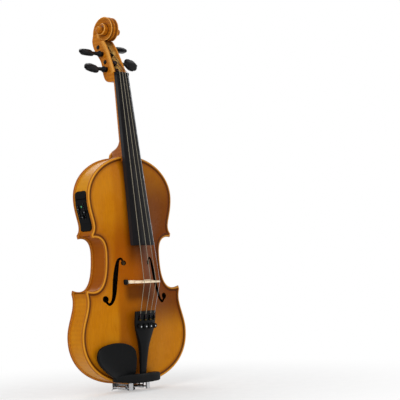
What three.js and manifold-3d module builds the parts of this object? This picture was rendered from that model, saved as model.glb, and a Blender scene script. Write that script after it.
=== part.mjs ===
// Electric violin: a hollow carved body with ribs, a set neck, strings with their fittings,
// and a preamp in the side.
// Millimetres. +Z runs up along the body towards the scroll, -Y is the belly side, +X is the treble side.
// The origin is at the bottom centre of the body, on the end button's axis, half way through the ribs.
import * as THREE from "three";
import { mergeVertices } from "three/addons/utils/BufferGeometryUtils.js";
import Module from "manifold-3d";

const wasm = await Module();
wasm.setup();

// Gap kept between pieces that touch or turn in each other, and how far a cutter runs past what it cuts
const seat = 0.3;
const overrun = 3;

// Body outline: half widths, corner by corner, and the rise of each as a share of the body's length
const bodyLength = 351;
const lowerHalf = 105;
const lowerRiseShare = 0.2137;
const lowerCornerInset = 10.5;
const lowerCornerRiseShare = 0.4017;
const lowerTipLean = 1.3;
const waistHalf = 54.6;
const waistRiseShare = 0.5698;
const upperCornerInset = 5.5;
const upperCornerRiseShare = 0.6382;
const upperTipLean = 1.5;
const cornerTip = 5.8;
const upperHalf = 84.5;
const upperRiseShare = 0.8177;
const lowerSquareShare = 2.2;
const roundShare = 2;

// Plates and ribs
const ribHeight = 30;
const ribThickness = 1.3;
const overhang = 2.8;
const ribCornerInset = 3;
const edgeThickness = 4;
const channelThickness = 3.3;
const plateThickness = 2.9;
const topArch = 16;
const backArch = 15;
const archStart = 9;
const coreInset = 12;
const coreCornerPull = 22.5;
const coreTip = 2.5;
const spineInset = 34;
const buttonHalf = 10.5;
const buttonReach = 10.5;

// F-holes
const upperEyeSpread = 25;
const upperEyeOverBridge = 29.3;
const upperEyeRadius = 3.9;
const lowerEyeSpread = 59;
const lowerEyeUnderBridge = 24.5;
const lowerEyeRadius = 5.1;
const stemWidth = 7.6;

// Blocks, bass bar and sound post
const neckBlockHalf = 26;
const neckBlockDepth = 20;
const endBlockHalf = 24;
const endBlockDepth = 15;
const lowerBlockLeg = 20;
const upperBlockLeg = 11;
const bassBarOff = 17;
const bassBarWidth = 5.5;
const bassBarLow = 45;
const bassBarInset = 41;
const bassBarEnd = 3;
const bassBarMiddle = 10;
const postRadius = 3.1;
const postOff = 19;
const postBehindBridge = 7;

// Neck, fingerboard and nut
const neckLength = 128;
const boardOverBody = 140;
const neckPlaneAtNut = 5.5;
const neckPlaneAtBoardEnd = 38.5;
const boardNutHalf = 12;
const boardEndHalf = 21;
const boardSide = 6.5;
const boardRadius = 42;
const nutLength = 4.5;
const nutLift = 0.5;
const neckDepthAtNut = 9;
const neckDepthAtHeel = 12.5;
const heelMortise = 9;
const heelCurve = 13.5;
const heelFlat = 9.5;
const heelBackShare = 2.6;
const heelSideShare = 1.5;
const heelSquareShare = 5;
const neckTongue = 4;

// Pegbox and scroll, seen from the side as distances behind the ribs' middle plane and heights over the nut
const headStart = 10;
const pegboxHalfAtNeck = 12.3;
const pegboxHalfWidest = 13.4;
const pegboxHalfAtThroat = 9.8;
const throatOverNut = 71;
const cheekThickness = 3.9;
const pegboxFloor = 4.5;
const pegFloorGap = 5.6;
const troughStart = 5.6;
const troughEnd = 57;
const headDepth = 46.6;
const headRise = 80.3;
const eyeBack = 20;
const eyeOverNut = 75.5;
const scrollStart = 27;
const scrollTurnShare = 0.5;
const scrollHalfAtEye = 21;
const eyeRadius = 5.4;

// Pegs, and how much further out than the usual place each head stands
const gPegOverNut = 11.3;
const ePegOverNut = 23.6;
const dPegOverNut = 37.6;
const aPegOverNut = 50.3;
const gPegOut = 4.5;
const ePegOut = 2;
const dPegOut = 6.5;
const aPegOut = -3;
const pegEndRadius = 3.3;
const pegCollarRadius = 5.2;
const pegShaftRadius = 3.9;
const pegDomeReach = 1.2;
const pegDomeShare = 0.8;
const pegSides = 14;
const pegCollarOut = 4.5;
const pegStemRadius = 2.7;
const pegHeadCentre = 25.5;
const pegHeadRadius = 12;
const pegHeadThickness = 8.4;
const pegReach = 39;
const pegPipRadius = 1.7;

// Bridge
const bridgeRiseShare = 0.4444;
const bridgeHeight = 33;
const bridgeFootHalf = 20.8;
const bridgeFootThickness = 5;
const bridgeTopThickness = 2.2;
const bridgeStringSpread = 33.6;
const nutStringSpread = 16;
const bridgeTopOverlap = 2;

// Strings: thickness, and clear height over the lower end of the fingerboard
const gThickness = 0.84;
const dThickness = 0.82;
const aThickness = 0.72;
const eThickness = 0.5;
const gLift = 5.3;
const dLift = 4.8;
const aLift = 4.2;
const eLift = 3.5;
const windingGap = 0.5;
const windingInset = 1.2;
const ballRadius = 1.5;

// Tailpiece with its four fine tuners
const tailRise = 7;
const tailLevel = 32;
const tailRun = 103;
const tailFall = 15;
const tailTopHalf = 20;
const tailCrown = 3.6;
const tailTopDepth = 9;
const tailEndDepth = 4.8;
const tailSkin = 2.4;
const tailCornerShare = 0.9;
const tunerSpacing = 9.5;
const fretInset = 2.6;
const fretHeight = 1.6;
const fretWidth = 1.8;
const leverThickness = 3;
const leverSlotClearance = 0.4;
const leverPivotInset = 11.6;
const leverPivotDepth = 4.9;
const leverPinRadius = 1.1;
const leverPinReach = 1.4;
const hookHeight = 3.2;
const hookNotch = 1.2;
const hookInset = 8.4;
const hookLength = 2;
const leverArmDepth = 5.2;
const leverArmThickness = 1.8;
const leverEndInset = 25.2;
const slotTopInset = 5.6;
const slotSkinInset = 13.4;
const slotEndInset = 26.5;
const screwInset = 22;
const screwRadius = 1.5;
const knobRadius = 3.9;
const knobHeight = 4.4;
const screwHeadRadius = 2.1;
const screwHeadHeight = 0.7;

// Saddle, end button and tailgut
const saddleHalf = 13;
const saddleDepth = 7;
const saddleHeight = 5.4;
const saddleShares = [[0, 0.7], [0, 0.4], [0.3, 0.04]];
const buttonFlangeRadius = 6.5;
const buttonNeckRadius = 4.1;
const buttonKnobRadius = 6.8;
const buttonPinRadius = 3.6;
const buttonPinEndRadius = 3;
const buttonPinLength = 17;
const buttonFlangeEnd = 1.6;
const buttonNeckEnd = 6.4;
const buttonEnd = 11;
const buttonFaceRadius = 4.4;
const gutRadius = 1;
const gutSpread = 2.9;
const gutHoleDepth = 12;

// Chin rest with its clamp
const chinRestLeft = 84;
const chinRestWidth = 109;
const chinRestLow = 2.5;
const chinRestHeight = 63;
const chinRestLift = 3;
const chinRestRim = 9.5;
const chinRestDish = 4.5;
const armTop = 39.5;
const armUnder = 34.5;
const armFoot = 22;
const armLow = 2.7;
const armHigh = 16.6;
const armEnd = 31;
const armRoot = 30;
const armLegStart = 14;
const corkBassLeft = 46;
const corkBassRight = 24;
const corkTrebleLeft = 20.6;
const corkTrebleRight = 28.5;
const corkLow = 5.5;
const corkHigh = 14.5;
const clampOff = 17;
const clampOut = 5.6;
const clampRodRadius = 1.3;
const clampPlateHalf = 3.2;
const clampPlateThickness = 1.5;
const clampPlateInside = 12;
const barrelRadius = 2.9;
const barrelHalf = 10;
const rodInBarrel = 7;
const barrelBoreRadius = 1.7;

// Preamp in the bass upper rib
const panelRiseShare = 0.6695;
const panelLength = 49;
const doorLength = 12;
const panelFront = 12;
const panelBack = 14;
const panelProud = 2;
const lowerCap = 12;
const doorLap = 3;
const tubMargin = 1.8;
const tubDepth = 27.5;
const tubWall = 1.6;
const slotOverCap = 7;
const slotUnderDoor = 6;
const slotWidth = 1.8;
const slotPitch = 6.6;
const middleSlotShare = 0.5;
const knobLength = 5;
const knobWidth = 3.4;
const knobProud = 2;
const knobPost = 0.55;
const lampUnderDoor = 11;
const lampRadius = 1.5;
const lampReach = 5;
const cellRadius = 10;
const cellThickness = 3.2;
const cellOverPanel = 3.6;
const cellInset = 14;
const boardInset = 8;
const circuitThickness = 1.6;
const doorThickness = 1.9;

// Output jack in the treble lower rib, and the pickup beside the bridge
const jackSpread = 34;
const jackRadius = 4.7;
const jackBodyRadius = 6.5;
const jackBodyLength = 20;
const jackBore = 3.3;
const jackProud = 3.4;
const jackNutRadius = 7;
const jackNutThickness = 2;
const pickupOff = 24.4;
const pickupHalfWidth = 3;
const pickupHalfLength = 4;
const pickupThickness = 3.6;
const pickupSink = 1.4;
const leadRadius = 1;
const leadHole = 1.5;

// Outline tables: across as shares of a half width, rise as shares of the stretch that each curve climbs
const edgeHookShares = {
  lower: [[1, 0.379], [0.824, 0.667]],
  waistLow: [[1.099, -0.226], [1, 0.396]],
  waistHigh: [[1, 0.708], [1.136, 1.125]],
  upper: [[0.805, 0.217], [1, 0.478]],
};
const coreHookShares = {
  lower: [[1, 0.4], [0.87, 0.8]],
  waistLow: [[1.3, 0.15], [1, 0.57]],
  waistHigh: [[1, 0.5], [1.166, 0.83]],
  upper: [[0.938, 0.2], [1, 0.6]],
};
const corePullShares = [[1, -0.25], [0.76, 0.5]];
const coreLeanShares = [0.4, 0.18];
const coreWaistShare = 0.85;
const outlineCounts = { bottom: 7, lower: 5, waistLow: 6, waistHigh: 5, upper: 5, top: 6 };
const fineFactor = 10;

// Arching: how full the long crest is, and where the rings of the plates stand
const crestSquareShare = 2.6;
const crestFullShare = 0.8;
const channelShare = 0.55;
const domeShares = [0.25, 0.5, 0.75];

// F-hole stem, each row the share across from the upper eye to the lower, the share down,
// and the share of the width
const stemShares = [
  [0.01, -0.02, 0.34], [0.1, -0.125, 0.36], [0.235, -0.07, 0.55], [0.325, 0.14, 0.86], [0.4, 0.36, 1],
  [0.47, 0.6, 1], [0.545, 0.84, 0.84], [0.66, 1.055, 0.55], [0.82, 1.15, 0.4], [0.97, 1.08, 0.36],
];

// Pegbox back and front lines, each row the share of the head's depth and of its height over the nut
const backLineShares = [
  [0.075, -0.12], [0.24, -0.105], [0.37, -0.05], [0.44, 0.06], [0.49, 0.204],
  [0.575, 0.33], [0.715, 0.44], [0.88, 0.56], [0.985, 0.664], [1.035, 0.78], [1, 0.879],
];
const frontLineShares = [
  [0.44, 0.741], [0.32, 0.639], [0.185, 0.497], [0.021, 0.281], [-0.12, 0.09], [-0.14, 0.06],
];

// Two points inside the volute, where the pegbox's side view closes
const headTopShares = [[0.8, 0.95], [0.5, 0.84]];

// Half widths of the scroll's terraces: turn reached, and share of the half width at the eye
const scrollWidthShares = [
  [0, 0.465], [0.3, 0.35], [0.55, 0.32], [0.8, 0.38], [1, 0.47], [1.5, 0.7], [2, 0.94], [2.2, 1],
];
const scrollTurns = 2.4;
const scrollSteps = 14;
const scrollStartDegrees = -10;

// Half width of the tailpiece: share of its length, and share of its widest half width
const tailWidthShares = [
  [0, 0.25], [0.04, 0.27], [0.2, 0.28], [0.4, 0.36], [0.52, 0.47],
  [0.64, 0.7], [0.74, 0.9], [0.82, 0.98], [1, 1],
];

// Bridge side line, each row the share of the foot half width and the share of the height
const bridgeSideShares = [
  [0.87, 0.8], [0.81, 0.72], [0.63, 0.61], [0.6, 0.53], [0.7, 0.46], [0.85, 0.39], [0.87, 0.29],
  [0.79, 0.2], [0.84, 0.12], [1, 0.06], [1, -0.04], [0.5, -0.04],
  [0.5, 0.07], [0.54, 0.13], [0.4, 0.21], [0.2, 0.27],
];
const bridgeArchShare = 0.29;
const bridgeHeartShares = [
  [0, 0.4], [0.1, 0.45], [0.19, 0.52], [0.2, 0.58], [0.12, 0.62], [0.03, 0.585],
  [-0.03, 0.585], [-0.12, 0.62], [-0.2, 0.58], [-0.19, 0.52], [-0.1, 0.45],
];

// Chin rest seen from the front, each row the share of its width from the left
// and of its height from the bottom
const cupShares = [
  [0.648, 0.23], [0.652, 0.405], [0.648, 0.595], [0.622, 0.786], [0.551, 0.905], [0.441, 0.976], [0.323, 1],
  [0.205, 0.984], [0.11, 0.944], [0.039, 0.873], [0.004, 0.738],
  [0.016, 0.579], [0.071, 0.452], [0.157, 0.317],
  [0.268, 0.175], [0.378, 0.079], [0.504, 0.021], [0.6, 0.01], [0.642, 0.05],
];

const cupRingShares = [0.3, 0.7, 0.94];

// Tailgut from its hole in the tailpiece, over the saddle and round the end button
const gutRoute = [
  [2.9, -30.9, 16.2], [2.9, -29.75, 8.2], [2.95, -29.3, 6.6], [3.4, -27.2, 3.9], [3.9, -25.5, 1.3],
  [4.5, -23.3, -1.9], [5, -17, -3], [5.3, -7, -3.9],
];
const gutLoopRise = -4;

// Lead from the pickup, through the body, to the back of the preamp, its rise as a share of the body's
const leadRows = [
  [-24.5, -19, 0.4444], [-30, -9, 0.4558], [-40, -2, 0.5014], [-46, 2, 0.5698],
  [-48, 3, 0.6553], [-50, 2, 0.7123], [-54, 1, 0.7464],
];

const varnish = (name, color, roughness = 0.25) =>
  new THREE.MeshStandardMaterial({ name, color, roughness });
const finishes = {
  top: varnish("top_varnish", 0xc07a1c),
  maple: varnish("maple_varnish", 0xbf6f1d),
  inside: varnish("bare_spruce", 0xd9b98a, 0.8),
  black: varnish("black_fittings", 0x17171a, 0.35),
  plastic: varnish("black_plastic", 0x202326, 0.3),
  bridge: varnish("bridge_maple", 0xeeddb8, 0.6),
  cork: varnish("cork", 0xa9794d, 0.9),
  nylon: varnish("black_nylon", 0x15151a, 0.5),
  green: new THREE.MeshStandardMaterial({ name: "green_lamp", color: 0x37c96b, roughness: 0.2 }),
  circuit: varnish("circuit_green", 0x1f5a36, 0.5),
  steel: new THREE.MeshStandardMaterial({ name: "steel", color: 0xb9bbbd, roughness: 0.25, metalness: 1 }),
};

const violin = new THREE.Group();

const lerp = (from, to, share) => from + (to - from) * share;
const mirrored = (points) => points.map(([x, ...rest]) => [-x, ...rest]);

// Value at a place in a table of [place, value] rows
function tableAt(table, place) {
  const next = table.findIndex(([start]) => start >= place);
  if (next <= 0) {
    return next === 0 ? table[0][1] : table[table.length - 1][1];
  }
  const [low, high] = [table[next - 1], table[next]];
  return lerp(low[1], high[1], (place - low[0]) / (high[0] - low[0]));
}

function closed(geometry) {
  geometry.deleteAttribute("normal");
  geometry.deleteAttribute("uv");
  const merged = mergeVertices(geometry);
  const place = merged.attributes.position;
  const index = Array.from(merged.index.array);
  const faces = [];
  let volume = 0;
  for (let i = 0; i < index.length; i += 3) {
    const face = index.slice(i, i + 3);
    if (new Set(face).size === 3) {
      const [a, b, c] = face.map((corner) => new THREE.Vector3().fromBufferAttribute(place, corner));
      volume += a.dot(b.cross(c));
      faces.push(face);
    }
  }
  merged.setIndex((volume < 0 ? faces.map((face) => face.reverse()) : faces).flat());
  return merged;
}

function fromFaces(points, faces) {
  const geometry = new THREE.BufferGeometry();
  geometry.setAttribute("position", new THREE.Float32BufferAttribute(points.flat(), 3));
  geometry.setIndex(faces.flat());
  return closed(geometry);
}

// Moves every corner of a geometry by a rule
function reshape(geometry, rule) {
  const copy = geometry.clone();
  const place = copy.attributes.position;
  for (let i = 0; i < place.count; i += 1) {
    place.setXYZ(i, ...rule(place.getX(i), place.getY(i), place.getZ(i)));
  }
  return closed(copy);
}

const shifted = (geometry, ...by) => geometry.clone().translate(...by);

function solid(geometry) {
  const vertProperties = new Float32Array(geometry.attributes.position.array);
  const triVerts = new Uint32Array(geometry.index.array);
  return new wasm.Manifold(new wasm.Mesh({ numProp: 3, vertProperties, triVerts }));
}

function geometryOf(shape) {
  const { vertProperties, triVerts } = shape.getMesh();
  const geometry = new THREE.BufferGeometry();
  geometry.setAttribute("position", new THREE.BufferAttribute(vertProperties, 3));
  geometry.setIndex(new THREE.BufferAttribute(triVerts, 1));
  return geometry;
}

const cut = (body, ...tools) =>
  geometryOf(tools.reduce((rest, tool) => rest.subtract(solid(tool)), solid(body)));
const join = (first, ...others) =>
  geometryOf(others.reduce((whole, other) => whole.add(solid(other)), solid(first)));

// Skin over rings of points of equal count, closed by a fan at each end
function loft(rings) {
  const count = rings[0].length;
  const points = rings.flat();
  const faces = [];
  for (let level = 0; level + 1 < rings.length; level += 1) {
    for (let i = 0; i < count; i += 1) {
      const a = level * count + i;
      const b = level * count + ((i + 1) % count);
      faces.push([a, b, b + count], [a, b + count, a + count]);
    }
  }
  [0, rings.length - 1].forEach((level) => {
    const hub = points.length;
    const ring = rings[level];
    points.push([0, 1, 2].map((axis) => ring.reduce((sum, point) => sum + point[axis], 0) / count));
    for (let i = 0; i < count; i += 1) {
      const face = [hub, level * count + i, level * count + ((i + 1) % count)];
      faces.push(level === 0 ? face.reverse() : face);
    }
  });
  return fromFaces(points, faces);
}

function extrusion(outline, holes, depth, rule) {
  const points = outline.map(([a, b]) => new THREE.Vector2(a, b));
  const shape = new THREE.Shape(THREE.ShapeUtils.isClockWise(points) ? points.reverse() : points);
  shape.holes = holes.map((hole) => new THREE.Path(hole.map(([a, b]) => new THREE.Vector2(a, b))));
  return reshape(new THREE.ExtrudeGeometry(shape, { depth, bevelEnabled: false }), rule);
}

// Outline drawn in x and z, reaching through y from low to high
const slab = (outline, low, high) => extrusion(outline, [], high - low, (a, b, c) => [a, low + c, b]);

const box = ([x0, y0, z0], [x1, y1, z1]) => slab([[x0, z0], [x1, z0], [x1, z1], [x0, z1]], y0, y1);

// Round tube along a list of points, with its section carried along without twist
function tube(route, radius, sides) {
  const path = route.map((point) => new THREE.Vector3(...point));
  const last = path.length - 1;
  const along = path.map((point, i) =>
    path[Math.min(i + 1, last)].clone().sub(path[Math.max(i - 1, 0)]).normalize(),
  );
  const upright = Math.abs(along[0].z) > Math.SQRT1_2;
  const helper = upright ? new THREE.Vector3(1, 0, 0) : new THREE.Vector3(0, 0, 1);
  const rings = [];
  let across = helper.cross(along[0]).normalize();
  path.forEach((point, i) => {
    across = across.clone().addScaledVector(along[i], -across.dot(along[i])).normalize();
    const other = along[i].clone().cross(across);
    const ring = [];
    for (let k = 0; k < sides; k += 1) {
      const turn = (2 * Math.PI * k) / sides;
      const spoke = across.clone().multiplyScalar(Math.cos(turn)).addScaledVector(other, Math.sin(turn));
      ring.push(point.clone().addScaledVector(spoke, radius).toArray());
    }
    rings.push(ring);
  });
  return loft(rings);
}

// Turned piece: profile rows of [distance along, radius], starting and ending on the axis
// or closing on itself
function turned(profile, sides, start, direction) {
  const rows = profile.map(([along, radius]) => new THREE.Vector2(radius, along));
  const geometry = new THREE.LatheGeometry(rows, sides);
  const turn = new THREE.Quaternion().setFromUnitVectors(
    new THREE.Vector3(0, 1, 0),
    new THREE.Vector3(...direction).normalize(),
  );
  geometry.applyQuaternion(turn);
  geometry.translate(...start);
  return closed(geometry);
}

const rod = (from, to, radius, sides = 14) => tube([from, to], radius, sides);

// A cord that bends gently, as an eight-sided section led along a curve through its points
function cord(route, radius, steps) {
  const extrudePath = new THREE.CatmullRomCurve3(route.map((point) => new THREE.Vector3(...point)));
  const corners = Array.from({ length: 8 }, (_, i) => (i * Math.PI) / 4);
  const section = new THREE.Shape(corners.map((turn) =>
    new THREE.Vector2(radius * Math.cos(turn), radius * Math.sin(turn)),
  ));
  return closed(new THREE.ExtrudeGeometry(section, { steps, extrudePath }));
}

function add(name, geometry, material, parent = violin) {
  const mesh = new THREE.Mesh(geometry, material);
  mesh.name = name;
  parent.add(mesh);
  return mesh;
}

// Body outline, as points of [half width, rise] from the bottom centre to the top centre

function curve(from, to, half, hookShares, steps) {
  const [first, second] = hookShares.map(([across, rise]) => [across * half, lerp(from[1], to[1], rise)]);
  const hooks = [from, first, second, to].map(([a, b]) => new THREE.Vector2(a, b));
  const bend = new THREE.CubicBezierCurve(...hooks);
  return bend.getPoints(steps).map((point) => point.toArray());
}

function quarter(half, rise, reach, square, steps) {
  return Array.from({ length: steps + 1 }, (_, i) => {
    const turn = (Math.PI / 2) * (i / steps);
    return [half * Math.sin(turn) ** (2 / square), lerp(rise, reach, Math.cos(turn) ** (2 / square))];
  });
}

function outlineParts(size, hooks, factor) {
  const steps = (name) => outlineCounts[name] * factor;
  const bottom = quarter(size.lowerHalf, size.lowerRise, size.bottom, lowerSquareShare, steps("bottom"));
  const top = quarter(size.upperHalf, size.upperRise, size.top, roundShare, steps("top")).reverse();
  const waist = [size.waistHalf, size.waistRise];
  const [wide, high] = [[size.lowerHalf, size.lowerRise], [size.upperHalf, size.upperRise]];
  const lower = curve(wide, size.lowerCorner, size.lowerHalf, hooks.lower, steps("lower"));
  const low = curve(size.lowerTip, waist, size.waistHalf, hooks.waistLow, steps("waistLow"));
  const rest = curve(waist, size.upperCorner, size.waistHalf, hooks.waistHigh, steps("waistHigh"));
  const upper = curve(size.upperTip, high, size.upperHalf, hooks.upper, steps("upper"));
  return {
    lower: [...bottom, ...lower.slice(1)],
    waist: [...low, ...rest.slice(1)],
    upper: [...upper, ...top.slice(1)],
  };
}

const lowerCorner = [lowerHalf - lowerCornerInset, bodyLength * lowerCornerRiseShare];
const upperCorner = [upperHalf - upperCornerInset, bodyLength * upperCornerRiseShare];
const rises = {
  lowerRise: bodyLength * lowerRiseShare,
  waistRise: bodyLength * waistRiseShare,
  upperRise: bodyLength * upperRiseShare,
};
const edgeSize = {
  ...rises,
  bottom: 0,
  top: bodyLength,
  lowerHalf,
  upperHalf,
  waistHalf,
  lowerCorner,
  lowerTip: [lowerCorner[0] - lowerTipLean, lowerCorner[1] + cornerTip],
  upperCorner,
  upperTip: [upperCorner[0] + upperTipLean, upperCorner[1] + cornerTip],
};
const coreCorners = [lowerCorner, upperCorner].map(([half, rise], i) => [
  half - coreCornerPull * corePullShares[i][0],
  rise + coreCornerPull * corePullShares[i][1],
]);
const coreSize = {
  ...rises,
  bottom: coreInset,
  top: bodyLength - coreInset,
  lowerHalf: lowerHalf - coreInset,
  upperHalf: upperHalf - coreInset,
  waistHalf: waistHalf - coreInset * coreWaistShare,
  lowerCorner: coreCorners[0],
  lowerTip: [coreCorners[0][0] - coreTip * coreLeanShares[0], coreCorners[0][1] + coreTip],
  upperCorner: coreCorners[1],
  upperTip: [coreCorners[1][0] + coreTip * coreLeanShares[1], coreCorners[1][1] + coreTip],
};

const wholeHalf = ({ lower, waist, upper }) => [...lower, ...waist, ...upper];
const edgeHalf = wholeHalf(outlineParts(edgeSize, edgeHookShares, 1));
const coreHalf = wholeHalf(outlineParts(coreSize, coreHookShares, 1));
const fineEdge = outlineParts(edgeSize, edgeHookShares, fineFactor);

const gapTo = (a, b) => Math.hypot(a[0] - b[0], a[1] - b[1]);

// A path moved sideways towards the wood, on its left as it climbs
function inset(path, distance) {
  return path.map(([x, z], i) => {
    const [back, ahead] = [path[Math.max(i - 1, 0)], path[Math.min(i + 1, path.length - 1)]];
    const run = gapTo(back, ahead);
    return [x - (distance * (ahead[1] - back[1])) / run, z + (distance * (ahead[0] - back[0])) / run];
  });
}

// The stretch of a path between two lengths along it, in equal steps
function stretch(path, from, to, steps) {
  const lengths = [0];
  path.slice(1).forEach((point, i) => lengths.push(lengths[i] + gapTo(point, path[i])));
  const high = to === null ? lengths[lengths.length - 1] : to;
  return Array.from({ length: steps + 1 }, (_, i) => {
    const place = lerp(from, high, i / steps);
    return [0, 1].map((axis) => tableAt(lengths.map((length, k) => [length, path[k][axis]]), place));
  });
}

function lengthOf(path) {
  return path.slice(1).reduce((sum, point, i) => sum + gapTo(point, path[i]), 0);
}

// The length along a path at which it first reaches a rise
function lengthAtRise(path, rise) {
  const next = path.findIndex(([, z]) => z >= rise);
  const [low, high] = [path[next - 1], path[next]];
  return lengthOf(path.slice(0, next)) + gapTo(low, high) * ((rise - low[1]) / (high[1] - low[1]));
}

// Arching: height of a plate's outer face over the ribs

const crestShare = (z) => {
  const place = Math.min(Math.max((z - archStart) / (bodyLength - 2 * archStart), 0), 1);
  return (1 - Math.abs(2 * place - 1) ** crestSquareShare) ** crestFullShare;
};

const coreByRise = coreHalf.map(([half, rise]) => [rise, half]);

function archHeight(x, z, arch) {
  const half = z <= coreInset || z >= bodyLength - coreInset ? 0 : tableAt(coreByRise, z) + coreInset / 3;
  const share = half > 0 ? Math.min(Math.abs(x) / half, 1) : 1;
  return channelThickness + (arch - channelThickness) * crestShare(z) * Math.cos((Math.PI / 2) * share) ** 2;
}

// A carved plate, with its outer face away from the ribs on the side given by -1 or 1
function plate(arch, side) {
  const spine = coreHalf.map(([, z]) => {
    const share = (z - coreSize.bottom) / (coreSize.top - coreSize.bottom);
    return [0, lerp(spineInset, bodyLength - spineInset, share)];
  });
  const between = (from, to, share) =>
    from.map((point, i) => point.map((value, k) => lerp(value, to[i][k], share)));
  const halves = [
    edgeHalf,
    between(edgeHalf, coreHalf, channelShare),
    coreHalf,
    ...domeShares.map((share) => between(coreHalf, spine, share)),
    spine,
  ];
  const rings = halves.map((half) => [...half, ...mirrored(half.slice(1, -1)).reverse()]);
  const outer = rings.map((ring, level) =>
    ring.map(([x, z]) => {
      const lift = level === 0 ? edgeThickness : archHeight(x, z, arch);
      return [x, side * (ribHeight / 2 + lift), z];
    }),
  );
  const inner = rings.map((ring, level) =>
    ring.map(([x, z]) => {
      const hollow = level < 2 ? 0 : Math.max(archHeight(x, z, arch) - plateThickness, 0);
      return [x, side * (ribHeight / 2 + hollow), z];
    }),
  );
  const sheets = [...inner.reverse(), ...outer];
  const count = sheets[0].length;
  const faces = [];
  for (let level = 0; level + 1 < sheets.length; level += 1) {
    for (let i = 0; i < count; i += 1) {
      const a = level * count + i;
      const b = level * count + ((i + 1) % count);
      faces.push([a, b, b + count], [a, b + count, a + count]);
    }
  }
  return fromFaces(sheets.flat(), faces);
}

// F-holes

const bridgeRise = bodyLength * bridgeRiseShare;
const upperEyeRise = bridgeRise + upperEyeOverBridge;
const lowerEyeRise = bridgeRise - lowerEyeUnderBridge;
const eyeSpan = [lowerEyeSpread - upperEyeSpread, lowerEyeRise - upperEyeRise];
const eyeSides = 14;

function soundHole(side) {
  const stem = stemShares.map(([across, down, width]) => ({
    place: [upperEyeSpread + across * eyeSpan[0], upperEyeRise + down * eyeSpan[1]],
    half: (width * stemWidth) / 2,
  }));
  const line = stem.map(({ place }) => place);
  const edge = (sign) => line.map((_, i) => inset(line, sign * stem[i].half)[i]);
  const outline = [...edge(1), ...edge(-1).reverse()].map(([x, z]) => [side * x, z]);
  const [front, back] = [-ribHeight / 2 - topArch - overrun, -ribHeight / 2 + overrun];
  const eye = (spread, up, radius) =>
    rod([side * spread, front, up], [side * spread, back, up], radius, eyeSides);
  return join(
    slab(outline, front, back),
    eye(upperEyeSpread, upperEyeRise, upperEyeRadius),
    eye(lowerEyeSpread, lowerEyeRise, lowerEyeRadius),
  );
}

// Fingerboard and neck lines

const nutRise = bodyLength + neckLength;
const boardLength = neckLength + boardOverBody;
const boardShare = (z) => (nutRise - z) / boardLength;
const neckPlane = (z) => -lerp(neckPlaneAtNut, neckPlaneAtBoardEnd, boardShare(z));
const boardHalf = (z) => lerp(boardNutHalf, boardEndHalf, boardShare(z));
const rise = (x, half) => Math.sqrt(boardRadius ** 2 - x ** 2) - Math.sqrt(boardRadius ** 2 - half ** 2);
const boardFace = (x, z) => neckPlane(z) - boardSide - rise(x, boardHalf(z));
const boardEndRise = nutRise - boardLength;

function boardSection(z, level = 0) {
  const half = boardHalf(z);
  const arcSteps = 8;
  const top = Array.from({ length: arcSteps + 1 }, (_, i) => {
    const x = lerp(-half, half, i / arcSteps);
    return [x, boardFace(x, z) - level, z];
  });
  return [...top, [half, neckPlane(z), z], [-half, neckPlane(z), z]];
}

// Neck with its heel, pegbox and scroll

const heelRoot = bodyLength - heelMortise;
const heelEnd = bodyLength + heelFlat;
const neckArcSteps = 10;
const heelSteps = 4;

function neckSection(z, grow = 0) {
  const share = (nutRise - z) / (nutRise - heelEnd);
  const shaftBack = neckPlane(z) + lerp(neckDepthAtNut, neckDepthAtHeel, Math.min(share, 1));
  const curl = Math.min(Math.max((heelEnd + heelCurve - z) / heelCurve, 0), 1);
  const heelBack = ribHeight / 2 - seat;
  const back = lerp(shaftBack, heelBack, curl ** heelBackShare) + grow;
  const front = neckPlane(z) + seat - grow;
  const half = boardHalf(z) + grow;
  const backHalf = lerp(half, buttonHalf - seat + grow, curl ** heelSideShare);
  const square = lerp(roundShare, heelSquareShare, curl);
  return Array.from({ length: neckArcSteps + 1 }, (_, i) => {
    const turn = (Math.PI * i) / neckArcSteps;
    const down = Math.abs(Math.sin(turn)) ** (2 / square);
    const out = Math.sign(Math.cos(turn)) * Math.abs(Math.cos(turn)) ** (2 / square);
    return [-out * lerp(half, backHalf, down), lerp(front, back, down), z];
  });
}

function neckShaft(grow = 0) {
  const heelStations = Array.from(
    { length: heelSteps + 1 },
    (_, i) => heelEnd + (heelCurve * i) / heelSteps,
  );
  const root = heelRoot - grow;
  const stations = grow > 0 ? [root, heelEnd] : [root, ...heelStations, nutRise + neckTongue];
  return loft(stations.map((z) => neckSection(z, grow)));
}

const headPoint = ([depthShare, riseShare]) => [depthShare * headDepth, nutRise + riseShare * headRise];
const smooth = (points, steps) => {
  const line = new THREE.SplineCurve(points.map(([a, b]) => new THREE.Vector2(a, b)));
  return line.getPoints(steps).map((point) => point.toArray());
};
const backSteps = 18;
const frontSteps = 8;
const backLine = smooth(backLineShares.map(headPoint), backSteps);
const frontLine = smooth(frontLineShares.map(headPoint), frontSteps);
const pegboxWidths = [
  [-headStart, pegboxHalfAtNeck], [troughStart, pegboxHalfWidest], [throatOverNut, pegboxHalfAtThroat],
];
const pegboxHalf = (z) => tableAt(pegboxWidths, z - nutRise);

// A prism of a side view, drawn as [depth, rise], that narrows towards the scroll
function tapered(sideView, halfAt) {
  return extrusion(sideView, [], 2, (depth, up, across) => [(across - 1) * halfAt(up), depth, up]);
}

const scrollRadius = (turn) => scrollStart * scrollTurnShare ** turn;
const scrollHalf = (turn) => scrollHalfAtEye * tableAt(scrollWidthShares, turn);

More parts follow.
